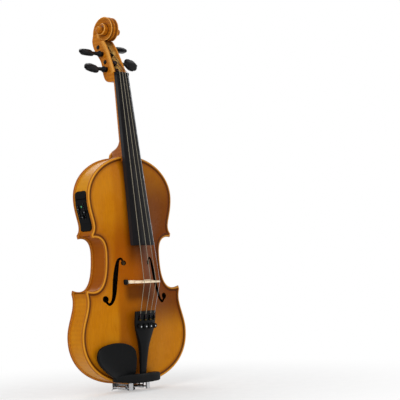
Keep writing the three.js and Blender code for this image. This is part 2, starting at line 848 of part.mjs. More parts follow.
// The volute: a spiral terrace that narrows in radius and steps outward to the eye, on both sides
function volute() {
  const count = Math.round(scrollTurns * scrollSteps);
  const place = (i, half) => {
    const turn = i / scrollSteps;
    const angle = THREE.MathUtils.degToRad(scrollStartDegrees) + 2 * Math.PI * turn;
    const radius = scrollRadius(turn);
    return [half, eyeBack + radius * Math.cos(angle), nutRise + eyeOverNut + radius * Math.sin(angle)];
  };
  const points = [];
  const faces = [];
  const keep = (point) => points.push(point) - 1;
  const sides = [1, -1].map((side) => {
    const edge = [];
    const foot = [];
    for (let i = 0; i <= count; i += 1) {
      edge.push(keep(place(i, side * scrollHalf(i / scrollSteps))));
      foot.push(i < scrollSteps ? null : keep(place(i, side * scrollHalf(i / scrollSteps - 1))));
    }
    const hub = keep([side * scrollHalf(scrollTurns), eyeBack, nutRise + eyeOverNut]);
    const face = (...corners) => {
      const order = side > 0 ? corners : [...corners].reverse();
      for (let k = 1; k + 1 < order.length; k += 1) {
        faces.push([order[0], order[k], order[k + 1]]);
      }
    };
    for (let i = 0; i < count; i += 1) {
      if (i + 1 + scrollSteps <= count) {
        face(edge[i], edge[i + 1], foot[i + 1 + scrollSteps], foot[i + scrollSteps]);
      } else {
        face(edge[i], edge[i + 1], hub);
      }
      if (i >= scrollSteps) {
        face(foot[i], foot[i + 1], edge[i + 1], edge[i]);
      }
    }
    const open = count - scrollSteps;
    face(edge[open], hub, foot[count]);
    face(foot[count], hub, edge[count]);
    return { edge, foot };
  });
  const [near, far] = sides;
  const wall = (...corners) => {
    for (let k = 1; k + 1 < corners.length; k += 1) {
      faces.push([corners[0], corners[k], corners[k + 1]]);
    }
  };
  for (let i = 0; i + 1 < scrollSteps; i += 1) {
    wall(near.edge[i], far.edge[i], far.edge[i + 1], near.edge[i + 1]);
  }
  const end = scrollSteps - 1;
  const next = end + 1;
  wall(near.edge[end], far.edge[end], far.edge[next], far.foot[next], near.foot[next], near.edge[next]);
  wall(near.edge[0], near.foot[scrollSteps], far.foot[scrollSteps], far.edge[0]);
  return fromFaces(points, faces);
}

// Pegs in order from the nut, each with its side, its height over the nut and the turn of its head
const pegs = [
  { note: "g", side: -1, overNut: gPegOverNut, out: gPegOut, turnShare: 0.115 },
  { note: "e", side: 1, overNut: ePegOverNut, out: ePegOut, turnShare: 0.17 },
  { note: "d", side: -1, overNut: dPegOverNut, out: dPegOut, turnShare: 0.08 },
  { note: "a", side: 1, overNut: aPegOverNut, out: aPegOut, turnShare: 0.03 },
];

function lineDepth(line, up) {
  const rows = line.map(([depth, height]) => [height, depth]).sort((a, b) => a[0] - b[0]);
  return tableAt(rows, up);
}

const pegLine = inset(backLine, pegboxFloor + pegFloorGap);
const pegDepth = (up) => lineDepth(pegLine, up);
const pegRise = ({ overNut }) => nutRise + overNut;
const pegHalf = (peg) => pegboxHalf(pegRise(peg));

// Peg profile from its domed end, measured from the cheek on the head's side
function pegProfile(peg, grow) {
  const far = -2 * pegHalf(peg) - pegDomeReach;
  if (grow > 0) {
    return [
      [far - overrun, 0],
      [far - overrun, pegEndRadius + grow],
      [overrun, pegShaftRadius + grow],
      [overrun, 0],
    ];
  }
  return [
    [far - pegDomeReach / 2, 0],
    [far, pegEndRadius * pegDomeShare],
    [far + pegDomeReach, pegEndRadius],
    [0, pegShaftRadius],
    [pegCollarOut, pegShaftRadius + seat],
    [pegCollarOut + pegPipRadius, pegCollarRadius],
    [pegCollarOut + 2 * pegPipRadius, pegShaftRadius],
    [pegHeadCentre + peg.out - pegHeadRadius, pegStemRadius],
    [pegHeadCentre + peg.out, pegStemRadius],
    [pegReach + peg.out - pegPipRadius, pegPipRadius],
    [pegReach + peg.out, 0],
  ];
}

const pegTurned = (peg, grow = 0) => {
  const cheek = [peg.side * pegHalf(peg), pegDepth(pegRise(peg)), pegRise(peg)];
  return turned(pegProfile(peg, grow), pegSides, cheek, [peg.side, 0, 0]);
};

const pegHeadCounts = [12, 7];

function pegHead(peg) {
  const ball = new THREE.SphereGeometry(1, ...pegHeadCounts);
  const angle = 2 * Math.PI * peg.turnShare;
  const [flat, wide] = [pegHeadThickness / 2, pegHeadRadius];
  return reshape(ball, (a, b, c) => [
    peg.side * (pegHalf(peg) + pegHeadCentre + peg.out + a * wide),
    pegDepth(pegRise(peg)) + b * wide * Math.cos(angle) - c * flat * Math.sin(angle),
    pegRise(peg) + b * wide * Math.sin(angle) + c * flat * Math.cos(angle),
  ]);
}

function neck() {
  const top = headTopShares.map(headPoint);
  const inside = [-neckPlaneAtNut + 2 * seat, nutRise + nutLength + seat];
  const foot = [inside[0], nutRise - headStart];
  const pegbox = tapered([...backLine, ...top, ...frontLine, inside, foot], pegboxHalf);
  const floor = inset(backLine, pegboxFloor).filter(
    ([, up]) => up > nutRise + troughStart + overrun / 2 && up < nutRise + troughEnd - overrun / 2,
  );
  const shallow = -headDepth / 2;
  const hollow = [
    [shallow, nutRise + troughStart],
    [floor[0][0] - overrun, nutRise + troughStart],
    ...floor,
    [lineDepth(frontLine, nutRise + troughEnd), nutRise + troughEnd + overrun / 2],
    [shallow, nutRise + troughEnd],
  ];
  const trough = tapered(hollow, (up) => pegboxHalf(up) - cheekThickness);
  const eyeEnds = [-1, 1].map((side) => [
    side * (scrollHalfAtEye + seat),
    eyeBack,
    nutRise + eyeOverNut,
  ]);
  const head = join(pegbox, volute(), rod(...eyeEnds, eyeRadius, eyeSides));
  return cut(join(neckShaft(), head), trough, ...pegs.map((peg) => pegTurned(peg, seat)));
}

// Strings, from bass to treble

const strings = [
  { note: "g", place: -1.5, thickness: gThickness, lift: gLift },
  { note: "d", place: -0.5, thickness: dThickness, lift: dLift },
  { note: "a", place: 0.5, thickness: aThickness, lift: aLift },
  { note: "e", place: 1.5, thickness: eThickness, lift: eLift },
];
const nutBreak = nutRise + nutLength + 2 * seat;
const bridgeBreak = bridgeRise - bridgeFootThickness / 2 + bridgeTopThickness / 2;
const gaps = 3;

// Where a string runs, as [across, level] at a rise between the bridge and the nut
function stringAt({ place, thickness, lift }, z) {
  const nutAcross = (place * nutStringSpread) / gaps;
  const bridgeAcross = (place * bridgeStringSpread) / gaps;
  const across = (up) => lerp(bridgeAcross, nutAcross, (up - bridgeBreak) / (nutBreak - bridgeBreak));
  const overNut = boardFace(across(nutRise), nutRise) - nutLift - seat - thickness / 2;
  const overEnd = boardFace(across(boardEndRise), boardEndRise) - lift - thickness / 2;
  return [across(z), lerp(overNut, overEnd, (nutBreak - z) / (nutBreak - boardEndRise))];
}

// The tailpiece leans: its own frame has z along it and y into its thickness
const tailLength = Math.hypot(tailRun, tailFall);
const tailLean = Math.asin(tailFall / tailLength);
const fromTail = ([x, y, z]) => [
  x,
  -tailLevel + y * Math.cos(tailLean) - z * Math.sin(tailLean),
  tailRise + y * Math.sin(tailLean) + z * Math.cos(tailLean),
];
const tailHalf = (z) => tailTopHalf * tableAt(tailWidthShares, z / tailLength);
const tailFace = (x, z) => tailCrown * (tailHalf(z) / tailTopHalf) * (x / tailHalf(z)) ** 2;
const tunerAcross = ({ place }) => place * tunerSpacing;
const tunerDrop = (string) => tailFace(tunerAcross(string), tailLength);

const windingSteps = 12;
const windingTurns = 4;
const stringSides = 6;

function stringRoute(string) {
  const radius = string.thickness / 2;
  const peg = pegs.find(({ note }) => note === string.note);
  const centre = [pegDepth(pegRise(peg)), pegRise(peg)];
  const drum = pegShaftRadius + seat + radius;
  const [nutAcross, nutLevel] = stringAt(string, nutBreak);
  const reach = [centre[0] - nutLevel, centre[1] - nutBreak];
  const start = Math.atan2(reach[0], reach[1]) - Math.asin(drum / Math.hypot(...reach));
  const pitch = string.thickness + windingGap;
  const inner = pegHalf(peg) - cheekThickness - windingInset - radius;
  const first = peg.side * inner;
  const across = tunerAcross(string);
  const drop = tunerDrop(string);
  const bridge = stringAt(string, bridgeBreak);
  const notch = drop - hookHeight + hookNotch;
  const hook = tailLength - hookInset;
  const route = [
    fromTail([across, notch, hook - hookLength - ballRadius - seat]),
    fromTail([across, notch, hook + hookLength]),
    fromTail([across, drop - fretHeight - seat - radius, tailLength - fretInset]),
    [...bridge, bridgeBreak],
    [nutAcross, nutLevel, nutBreak],
  ];
  for (let i = 0; i <= windingSteps * windingTurns; i += 1) {
    const turn = start + (2 * Math.PI * i) / windingSteps;
    const x = first - peg.side * pitch * (i / windingSteps);
    route.push([x, centre[0] - drum * Math.cos(turn), centre[1] + drum * Math.sin(turn)]);
  }
  return route;
}

// Least gap between the winding's turns, on the points that are half a turn or more apart
function windingLeastGap(route, thickness) {
  const points = route.slice(-windingSteps * windingTurns - 1).map((point) => new THREE.Vector3(...point));
  let least = Infinity;
  points.forEach((point, i) => {
    points.slice(i + windingSteps / 2).forEach((other) => {
      least = Math.min(least, point.distanceTo(other) - thickness);
    });
  });
  return least;
}

function stringSolid(string) {
  const route = stringRoute(string);
  const gap = windingLeastGap(route, string.thickness);
  console.log(`string_${string.note}: least gap between its turns on the peg ${gap.toFixed(2)} mm`);
  const ballEnds = [-1, 1].map((side) => [route[0][0] + side * ballRadius, route[0][1], route[0][2]]);
  return join(tube(route, string.thickness / 2, stringSides), rod(...ballEnds, ballRadius, pinSides));
}

// Tailpiece and fine tuners, in the tailpiece's own frame

const fretShares = [-1, -0.5, 0, 0.5, 1];
const pinSides = 10;
const screwSides = 12;
const tailArcSteps = 8;

function tailSection(z) {
  const half = tailHalf(z);
  const depth = lerp(tailEndDepth, tailTopDepth, Math.min((2 * z) / tailLength, 1));
  const top = Array.from({ length: tailArcSteps + 1 }, (_, i) => {
    const x = lerp(-half, half, i / tailArcSteps);
    return [x, tailFace(x, z), z];
  });
  const corner = half * tailCornerShare;
  const side = (depth + tailCrown) / 2;
  return [...top, [half, side, z], [corner, depth, z], [-corner, depth, z], [-half, side, z]];
}

function tailpiece() {
  const sections = tailWidthShares.map(([share]) => tailSection(share * tailLength));
  const ridge = loft(
    fretShares.map((share) => {
      const x = share * (tailTopHalf - fretWidth);
      const y = tailFace(x, tailLength);
      const [low, high] = [tailLength - fretInset - fretWidth / 2, tailLength - fretInset + fretWidth / 2];
      const [root, top] = [y + tailSkin / 2, y - fretHeight];
      return [[x, root, low], [x, top, low], [x, top, high], [x, root, high]];
    }),
  );
  const slots = strings.flatMap((string) => {
    const [x, drop] = [tunerAcross(string), tunerDrop(string)];
    const half = leverThickness / 2 + leverSlotClearance;
    const deep = tailTopDepth + overrun;
    const high = tailLength - slotTopInset;
    const pin = leverThickness / 2 + leverPinReach + seat;
    const pivot = [drop + leverPivotDepth, tailLength - leverPivotInset];
    return [
      box([x - half, drop + tailSkin, tailLength - slotEndInset], [x + half, deep, high]),
      box([x - half, drop - overrun, tailLength - slotSkinInset], [x + half, deep, high]),
      rod([x - pin, ...pivot], [x + pin, ...pivot], leverPinRadius + seat, pinSides),
      rod(
        [x, drop - overrun, tailLength - screwInset],
        [x, drop + tailSkin + overrun / 2, tailLength - screwInset],
        screwRadius + seat,
        screwSides,
      ),
    ];
  });
  const gutHoles = [-1, 1].map((side) => {
    const depth = tailEndDepth / 2;
    const across = side * gutSpread;
    return rod([across, depth, -overrun], [across, depth, gutHoleDepth], gutRadius + seat);
  });
  return cut(join(loft(sections), ridge), ...slots, ...gutHoles);
}

function lever(string) {
  const [x, drop] = [tunerAcross(string), tunerDrop(string)];
  const armEndDepth = leverArmDepth + leverArmThickness;
  const sideView = [
    [-hookHeight, -hookInset],
    [-hookHeight, -hookInset - hookLength],
    [hookLength, -hookInset - hookLength],
    [leverArmDepth, -hookInset - hookLength - leverArmThickness],
    [leverArmDepth, -leverEndInset],
    [armEndDepth, -leverEndInset],
    [armEndDepth, -leverPivotInset],
    [armEndDepth - hookLength / 2, -hookInset - hookLength / 2],
    [leverPivotDepth - hookLength, -hookInset],
  ].map(([depth, up]) => [drop + depth, tailLength + up]);
  const arm = extrusion(sideView, [], leverThickness, (depth, up, across) => [
    x + across - leverThickness / 2,
    depth,
    up,
  ]);
  const pin = leverThickness / 2 + leverPinReach;
  const pivot = [drop + leverPivotDepth, tailLength - leverPivotInset];
  const notchHalf = string.thickness / 2 + seat;
  const notchTop = drop - hookHeight - overrun;
  const notchEnd = drop - hookHeight + hookNotch + notchHalf;
  const notch = box(
    [x - notchHalf, notchTop, tailLength - hookInset - hookLength - overrun],
    [x + notchHalf, notchEnd, tailLength - hookInset + overrun],
  );
  return cut(join(arm, rod([x - pin, ...pivot], [x + pin, ...pivot], leverPinRadius, pinSides)), notch);
}

function tunerScrew(string) {
  const [x, drop] = [tunerAcross(string), tunerDrop(string)];
  const innerEdge = tailFace(Math.max(Math.abs(x) - knobRadius, 0), tailLength - screwInset);
  const base = -(innerEdge - seat);
  const profile = [
    [-(drop + leverArmDepth - seat), 0],
    [-(drop + leverArmDepth - seat), screwRadius],
    [base, screwRadius],
    [base, knobRadius],
    [base + knobHeight, knobRadius],
    [base + knobHeight, screwHeadRadius],
    [base + knobHeight + screwHeadHeight, screwHeadRadius],
    [base + knobHeight + screwHeadHeight, 0],
  ];
  return turned(profile, screwSides, [x, 0, tailLength - screwInset], [0, -1, 0]);
}

// Bridge

function bridge(topPlate) {
  const footLevel = -ribHeight / 2 - topArch;
  const place = ([across, up]) => [across * bridgeFootHalf, footLevel - up * bridgeHeight];
  const side = bridgeSideShares.map(place);
  const arch = place([0, bridgeArchShare]);
  const crest = [...strings].reverse().map((string) => {
    const [x, y] = stringAt(string, bridgeBreak);
    return [x, y + string.thickness / 2 + seat];
  });
  const [treble, bass] = [crest[0], crest[crest.length - 1]];
  const ends = [
    [treble[0] + bridgeTopOverlap, treble[1] + seat * 2],
    [bass[0] - bridgeTopOverlap, bass[1] + seat * 2],
  ];
  const outline = [ends[0], ...crest, ends[1], ...mirrored(side), arch, ...[...side].reverse()];
  const heart = bridgeHeartShares.map(place);
  const tailFaceRise = bridgeRise - bridgeFootThickness / 2;
  const thickness = (y) =>
    lerp(bridgeFootThickness, bridgeTopThickness, Math.min(Math.max((footLevel - y) / bridgeHeight, 0), 1));
  const body = extrusion(outline, [heart], 1, (x, y, share) => [x, y, tailFaceRise + share * thickness(y)]);
  return cut(body, shifted(topPlate, 0, -seat, 0));
}

// Chin rest

const chinPoint = ([across, up]) => [
  -chinRestLeft + across * chinRestWidth,
  chinRestLow + up * chinRestHeight,
];

function chinRest() {
  const rim = cupShares.map(chinPoint);
  const middle = [0, 1].map((axis) => rim.reduce((sum, point) => sum + point[axis], 0) / rim.length);
  const ringAt = (share) => rim.map((point) => point.map((value, axis) => lerp(middle[axis], value, share)));
  const under = ([x, z]) => -ribHeight / 2 - archHeight(x, z, topArch) - chinRestLift;
  const thick = (share) => lerp(chinRestDish, chinRestRim, share ** 2);
  const lowest = chinRestRim / 3;
  const layers = [
    ...cupRingShares.map((share) => ringAt(share).map((point) => [point[0], under(point), point[1]])),
    ringAt(1).map((point) => [point[0], under(point) - lowest, point[1]]),
    ringAt(1).map((point) => [point[0], under(point) - chinRestRim + lowest / 2, point[1]]),
    ...[...cupRingShares].reverse().map((share) =>
      ringAt(share).map((point) => [point[0], under(point) - thick(share), point[1]]),
    ),
  ];
  const station = (x, top, bottom, low, high) => {
    const round = (top - bottom) / 4;
    return [
      [x, -bottom, low], [x, -top + round, low], [x, -top, low + round],
      [x, -top, high - round], [x, -top + round, high], [x, -bottom, high],
    ];
  };
  const arm = loft([
    station(-armRoot, armFoot + chinRestRim, armFoot + chinRestDish, armLow + chinRestLift, armHigh),
    station(-armLegStart, armTop, armUnder, armLow, armHigh),
    station(armLegStart, armTop, armUnder, armLow, armHigh),
    station(armLegStart + seat, armTop - seat, armFoot, armLow, armHigh),
    station(armEnd - chinRestLift, armTop - chinRestLift, armFoot, armLow, armHigh),
    station(
      armEnd,
      armTop - 2 * chinRestLift,
      armFoot + chinRestLift,
      armLow + chinRestLift,
      armHigh - chinRestLift,
    ),
  ]);
  return join(loft(layers), arm);
}

function cork(left, right, topPlate, rest) {
  const outer = -ribHeight / 2 - channelThickness - 2 * chinRestLift;
  const block = box([left, outer, corkLow], [right, -ribHeight / 2 - channelThickness / 2, corkHigh]);
  return cut(block, shifted(topPlate, 0, -seat, 0), shifted(rest, 0, seat, 0));
}

function upperClamp(side, rest) {
  const x = side * clampOff;
  const level = -ribHeight / 2 - edgeThickness - seat;
  const strip = box(
    [x - clampPlateHalf, level - 2 * clampPlateThickness, -clampOut - clampPlateHalf],
    [x + clampPlateHalf, level, clampPlateInside],
  );
  const post = rod(
    [x, level - clampPlateThickness, -clampOut],
    [x, -barrelHalf + rodInBarrel, -clampOut],
    clampRodRadius,
  );
  return cut(join(strip, post), shifted(rest, 0, seat, 0));
}

function lowerClamp() {
  const level = ribHeight / 2 + edgeThickness + seat;
  const wide = clampOff + clampPlateHalf;
  const strip = box(
    [-wide, level, -clampOut - clampPlateHalf],
    [wide, level + clampPlateThickness, clampPlateInside],
  );
  const posts = [-1, 1].map((side) =>
    rod(
      [side * clampOff, barrelHalf - rodInBarrel, -clampOut],
      [side * clampOff, level + clampPlateThickness / 2, -clampOut],
      clampRodRadius,
    ),
  );
  return join(strip, ...posts);
}

function barrel(side) {
  const profile = [
    [-barrelHalf, barrelBoreRadius],
    [-barrelHalf, barrelRadius],
    [barrelHalf, barrelRadius],
    [barrelHalf, barrelBoreRadius],
    [-barrelHalf, barrelBoreRadius],
  ];
  return turned(profile, eyeSides, [side * clampOff, 0, -clampOut], [0, 1, 0]);
}

// Preamp: paths along the outer face of the bass upper rib

const panelLow = bodyLength * panelRiseShare;
const panelDoor = panelLow + panelLength;
const panelHigh = panelDoor + doorLength;
const tubLow = panelLow + lowerCap;
const tubHigh = panelHigh - doorLap;
const tubInner = upperHalf - tubDepth;
const slotLow = tubLow + slotOverCap;
const slotHigh = panelDoor - slotUnderDoor;
const lampRise = panelDoor - lampUnderDoor;
const cellRise = panelDoor + cellOverPanel;
const cellCentre = upperHalf - cellInset;
const bassRibOuter = inset(fineEdge.upper, overhang);

// The line beside that face between two rises, at a distance inside it, or outside where it is negative
const fineSteps = 8;

function beside(low, high, distance, steps) {
  const [from, to] = [low, high].map((z) => lengthAtRise(bassRibOuter, z));
  const fine = inset(stretch(bassRibOuter, from, to, steps * fineSteps), distance);
  return fine.filter((_, i) => i % fineSteps === 0);
}

const sideBand = (low, high, near, far, steps) =>
  mirrored([...beside(low, high, near, steps), ...beside(low, high, far, steps).reverse()]);

const tubSteps = 6;
const faceSteps = 8;
const doorSteps = 4;
const tubOutline = (low, high, out, inner) =>
  mirrored([...beside(low, high, out, tubSteps), [inner, high], [inner, low]]);

// The chord that the sliders run along
const chordEnds = [slotLow, slotHigh].map(
  (z) => stretch(bassRibOuter, lengthAtRise(bassRibOuter, z), null, 1)[0],
);
const chordLength = gapTo(...chordEnds);
const chordAlong = [0, 1].map((axis) => (chordEnds[1][axis] - chordEnds[0][axis]) / chordLength);

// Place beside the chord: across the rib, outwards, and along from the low end
const fromPanel = ([out, y, along]) => [
  -(chordEnds[0][0] + chordAlong[0] * along + chordAlong[1] * out),
  y,
  chordEnds[0][1] + chordAlong[1] * along - chordAlong[0] * out,
];
const panelMiddle = (panelBack - panelFront) / 2;
const panelBox = (from, to) => reshape(box(from, to), (x, y, z) => fromPanel([x, y, z]));
const slotTops = [chordLength, chordLength * middleSlotShare, chordLength];
const slotPlace = (i) => panelMiddle + (i - 1) * slotPitch;

function preampHousing() {
  const band = sideBand(panelLow, panelDoor, -seat, -seat - panelProud, faceSteps);
  const face = slab(band, -panelFront, panelBack);
  const inY = [-panelFront + tubMargin, panelBack - tubMargin];
  const tub = slab(tubOutline(tubLow, panelDoor - seat, -seat - panelProud / 2, tubInner), ...inY);
  const cellBox = slab(tubOutline(panelDoor - overrun, tubHigh, ribThickness / 2, tubInner), ...inY);
  const roomY = [inY[0] + tubWall, inY[1] - tubWall];
  const openEnd = tubInner - overrun;
  const floorRise = cellRise - cellThickness / 2 - seat;
  const room = slab(tubOutline(tubLow + tubWall, floorRise - tubWall, tubWall, openEnd), ...roomY);
  const cellHole = slab(
    tubOutline(floorRise, cellRise + cellThickness / 2 + seat, -overrun, cellCentre - cellRadius - seat),
    panelMiddle - cellRadius - seat,
    panelMiddle + cellRadius + seat,
  );
  const slots = slotTops.map((top, i) =>
    panelBox(
      [-overrun, slotPlace(i) - slotWidth / 2, 0],
      [panelProud + overrun, slotPlace(i) + slotWidth / 2, top],
    ),
  );
  const lampAlong = (lampRise - slotLow) / chordAlong[1];
  const lampHole = rod(
    fromPanel([-overrun, panelMiddle, lampAlong]),
    fromPanel([panelProud + overrun, panelMiddle, lampAlong]),
    lampRadius + seat,
    pinSides,
  );
  return cut(join(face, tub, cellBox), room, cellHole, ...slots, lampHole);
}

// Slider knobs: each stands over its slot, with a post through it
const sliderRestShares = [0.45, 0.3, 0.66];

function slider(i) {
  const y = slotPlace(i);
  const along = slotTops[i] * sliderRestShares[i];
  const base = panelProud + 3 * seat;
  const cap = panelBox(
    [base, y - knobWidth / 2, along - knobLength / 2],
    [base + knobProud, y + knobWidth / 2, along + knobLength / 2],
  );
  const post = panelBox(
    [-tubWall - seat, y - knobPost, along - knobPost],
    [base + seat, y + knobPost, along + knobPost],
  );
  return join(cap, post);
}

function lamp() {
  const along = (lampRise - slotLow) / chordAlong[1];
  const lens = [panelProud + 2 * seat, panelMiddle, along];
  return rod(fromPanel([lens[0] - lampReach, lens[1], lens[2]]), fromPanel(lens), lampRadius, pinSides);
}

function batteryDoor() {
  const band = sideBand(panelDoor + seat, panelHigh, -seat, -seat - doorThickness, doorSteps);
  return slab(band, -panelFront, panelBack);
}

// Output jack: its axis stands square on the treble lower rib

const jackPath = inset(fineEdge.lower, overhang);
const jackIndex = jackPath.findIndex(([x]) => x >= jackSpread);
const jackFoot = jackPath[jackIndex];
const jackRun = [0, 1].map((axis) => jackPath[jackIndex + 1][axis] - jackPath[jackIndex - 1][axis]);
const jackOut = [jackRun[1] / Math.hypot(...jackRun), 0, -jackRun[0] / Math.hypot(...jackRun)];
const jackSides = 16;
const nutCorners = 6;
const jackAt = (out) => [jackFoot[0] + jackOut[0] * out, 0, jackFoot[1] + jackOut[2] * out];

function outputJack() {
  const inside = -ribThickness - 3 * seat;
  const profile = [
    [inside - jackBodyLength, 0],
    [inside - jackBodyLength, jackBodyRadius],
    [inside, jackBodyRadius],
    [inside, jackRadius],
    [jackProud, jackRadius],
    [jackProud, jackBore],
    [inside - jackBodyLength + tubWall, jackBore],
    [inside - jackBodyLength + tubWall, 0],
  ];
  return turned(profile, jackSides, jackAt(0), jackOut);
}

function jackNut() {
  const [low, high] = [2 * seat, 2 * seat + jackNutThickness];
  const hole = jackRadius + seat;
  const profile = [[low, 0], [low, jackNutRadius], [high, jackNutRadius], [high, 0]];
  const hexagon = turned(profile, nutCorners, jackAt(0), jackOut);
  return cut(hexagon, rod(jackAt(-overrun), jackAt(high + overrun), hole, jackSides));
}

// Assembly

const frontFace = -ribHeight / 2;
const heelRoom = neckShaft(seat);

const saddleRoom = box(
  [-saddleHalf - seat, frontFace - topArch, -overrun],
  [saddleHalf + seat, frontFace + overrun, saddleDepth + seat],
);
const leadRoom = rod(
  [-pickupOff, frontFace - topArch, bridgeRise],
  [-pickupOff, 0, bridgeRise],
  leadHole,
  pinSides,
);
const carvedTop = plate(topArch, -1);
const topPlate = cut(carvedTop, soundHole(1), soundHole(-1), heelRoom, saddleRoom, leadRoom);
add("top_plate", topPlate, finishes.top);

const buttonSteps = 8;

function buttonOutline() {
  const round = Array.from({ length: buttonSteps + 1 }, (_, i) => {
    const turn = (Math.PI * i) / buttonSteps;
    const up = bodyLength + buttonReach - buttonHalf;
    return [buttonHalf * Math.cos(turn), up + buttonHalf * Math.sin(turn)];
  });
  return [[buttonHalf, bodyLength - coreInset], ...round, [-buttonHalf, bodyLength - coreInset]];
}

const backPlate = join(
  plate(backArch, 1),
  slab(buttonOutline(), ribHeight / 2, ribHeight / 2 + channelThickness),
);
add("back_plate", backPlate, finishes.maple);

// Ribs, between the plates
const ribLow = -ribHeight / 2 + seat;
const ribHigh = ribHeight / 2 - seat;
const ribSteps = 26;
const ribBand = (path, steps) => {
  const [outer, inner] = [overhang, overhang + ribThickness].map((distance) => inset(path, distance));
  return [...stretch(outer, 0, null, steps), ...stretch(inner, 0, null, steps).reverse()];
};

// What is left of a path, taken from its first point, once it has come clear of another
function past(path, other, distance) {
  const last = path.findLastIndex((point) => other.some((place) => gapTo(point, place) < distance));
  return path.slice(last + 1);
}

const waistPath = stretch(
  fineEdge.waist,
  ribCornerInset,
  lengthOf(fineEdge.waist) - ribCornerInset,
  (outlineCounts.waistLow + outlineCounts.waistHigh) * fineFactor,
);
const waistMiddle = inset(waistPath, overhang + ribThickness / 2);
const trimmed = (path, fromCorner) => {
  const middle = inset(path, overhang + ribThickness / 2);
  const kept = past(fromCorner(middle), waistMiddle, ribThickness + seat);
  return path.filter((_, i) => kept.includes(middle[i]));
};
const asDrawn = (path) => path;
const turnedRound = (path) => [...path].reverse();
const lowerPath = trimmed(fineEdge.lower, turnedRound);
const upperPath = trimmed(fineEdge.upper, asDrawn);
const fromCentre = (outline) => outline.map(([x, z]) => [Math.max(x, seat / 2), z]);
const ribOutlines = {
  lower: fromCentre(ribBand(lowerPath, ribSteps)),
  waist: ribBand(waistPath, ribSteps),
  upper: fromCentre(ribBand(upperPath, ribSteps)),
};

const buttonRoom = rod([0, 0, -overrun], [0, 0, endBlockDepth + 3 * overrun], buttonPinRadius + seat);
const jackRoom = rod(jackAt(overrun), jackAt(-2 * overrun), jackRadius + seat);
const preampRoom = slab(
  tubOutline(tubLow - seat, tubHigh + seat, -seat - panelProud / 2, tubInner),
  -panelFront + tubMargin - seat,
  panelBack - tubMargin + seat,
);
const ribCuts = {
  rib_lower_bass: [buttonRoom],
  rib_lower_treble: [buttonRoom, jackRoom],
  rib_waist_bass: [],
  rib_waist_treble: [],
  rib_upper_bass: [heelRoom, preampRoom],
  rib_upper_treble: [heelRoom],
};
["lower", "waist", "upper"].forEach((bout) => {
  ["bass", "treble"].forEach((side) => {
    const outline = side === "bass" ? mirrored(ribOutlines[bout]) : ribOutlines[bout];
    const name = `rib_${bout}_${side}`;
    add(name, cut(slab(outline, ribLow, ribHigh), ...ribCuts[name]), finishes.maple);
  });
});

// Blocks
const innerFace = overhang + ribThickness + seat;

function endBlock(path, half, depth, towards) {
  const face = inset(path, innerFace).filter(([x]) => x <= half);
  const edge = [...face, ...mirrored(face).reverse()].sort((a, b) => a[0] - b[0]);
  const flat = towards > 0 ? face[0][1] + depth : face[face.length - 1][1] - depth;
  return slab([...edge, [edge[edge.length - 1][0], flat], [edge[0][0], flat]], ribLow, ribHigh);
}

const neckBlock = endBlock(fineEdge.upper, neckBlockHalf, neckBlockDepth, -1);
add("neck_block", cut(neckBlock, heelRoom), finishes.inside);
const tailBlock = endBlock(fineEdge.lower, endBlockHalf, endBlockDepth, 1);
add("end_block", cut(tailBlock, buttonRoom), finishes.inside);

const waistInner = inset(waistPath, innerFace);
const blockTipGap = ribThickness + seat;
const legSteps = 6;

// A corner block fills the corner between two ribs, both followed from their corner,
// with its third face straight
function cornerBlock(ribLine, waistLine, leg) {
  const [one, other] = [past(ribLine, waistLine, blockTipGap), past(waistLine, ribLine, blockTipGap)];
  return [...stretch(one, 0, leg, legSteps).reverse(), ...stretch(other, 0, leg, legSteps)];
}

const cornerBlocks = {
  upper: cornerBlock(inset(fineEdge.upper, innerFace), turnedRound(waistInner), upperBlockLeg),
  lower: cornerBlock(turnedRound(inset(fineEdge.lower, innerFace)), waistInner, lowerBlockLeg),
};
Object.entries(cornerBlocks).forEach(([bout, outline]) => {
  add(`corner_block_${bout}_bass`, slab(mirrored(outline), ribLow, ribHigh), finishes.inside);
  add(`corner_block_${bout}_treble`, slab(outline, ribLow, ribHigh), finishes.inside);
});

// Bass bar and sound post, trimmed to the plates that they stand against
const barSteps = 9;

function bassBar() {
  const sections = Array.from({ length: barSteps + 1 }, (_, i) => {
    const z = lerp(bassBarLow, bodyLength - bassBarInset, i / barSteps);
    const inner = (x) => frontFace - archHeight(x, z, topArch) + plateThickness;
    const bottom = inner(bassBarOff) + lerp(bassBarEnd, bassBarMiddle, Math.sin((Math.PI * i) / barSteps));
    const sides = [-bassBarOff - bassBarWidth / 2, -bassBarOff + bassBarWidth / 2];
    const top = sides.map((x) => [x, inner(x) - plateThickness / 3, z]);
    return [...top, ...sides.reverse().map((x) => [x, bottom, z])];
  });
  return cut(loft(sections), shifted(carvedTop, 0, seat, 0));
}

function soundPost() {
  const z = bridgeRise - postBehindBridge;
  const front = frontFace - archHeight(postOff, z, topArch) + plateThickness / 2;
  const back = ribHeight / 2 + archHeight(postOff, z, backArch) - plateThickness / 2;
  const post = rod([postOff, front, z], [postOff, back, z], postRadius);
  return cut(post, shifted(carvedTop, 0, seat, 0), shifted(backPlate, 0, -seat, 0));
}

add("bass_bar", bassBar(), finishes.inside);
add("sound_post", soundPost(), finishes.inside);

add("neck", neck(), finishes.maple);
add("fingerboard", loft([boardEndRise, nutRise - seat].map((z) => boardSection(z))), finishes.black);
add("nut", loft([nutRise, nutRise + nutLength].map((z) => boardSection(z, nutLift))), finishes.black);

const saddleTop = frontFace - edgeThickness - saddleHeight;
const saddleView = [
  [frontFace - seat, seat], [frontFace - seat, saddleDepth], [frontFace - edgeThickness, saddleDepth],
  ...saddleShares.map(([down, up]) => [saddleTop + saddleHeight * down, saddleDepth * up]),
];
const saddle = extrusion(saddleView, [], 2 * saddleHalf, (y, z, x) => [x - saddleHalf, y, z]);
add("saddle", saddle, finishes.black);

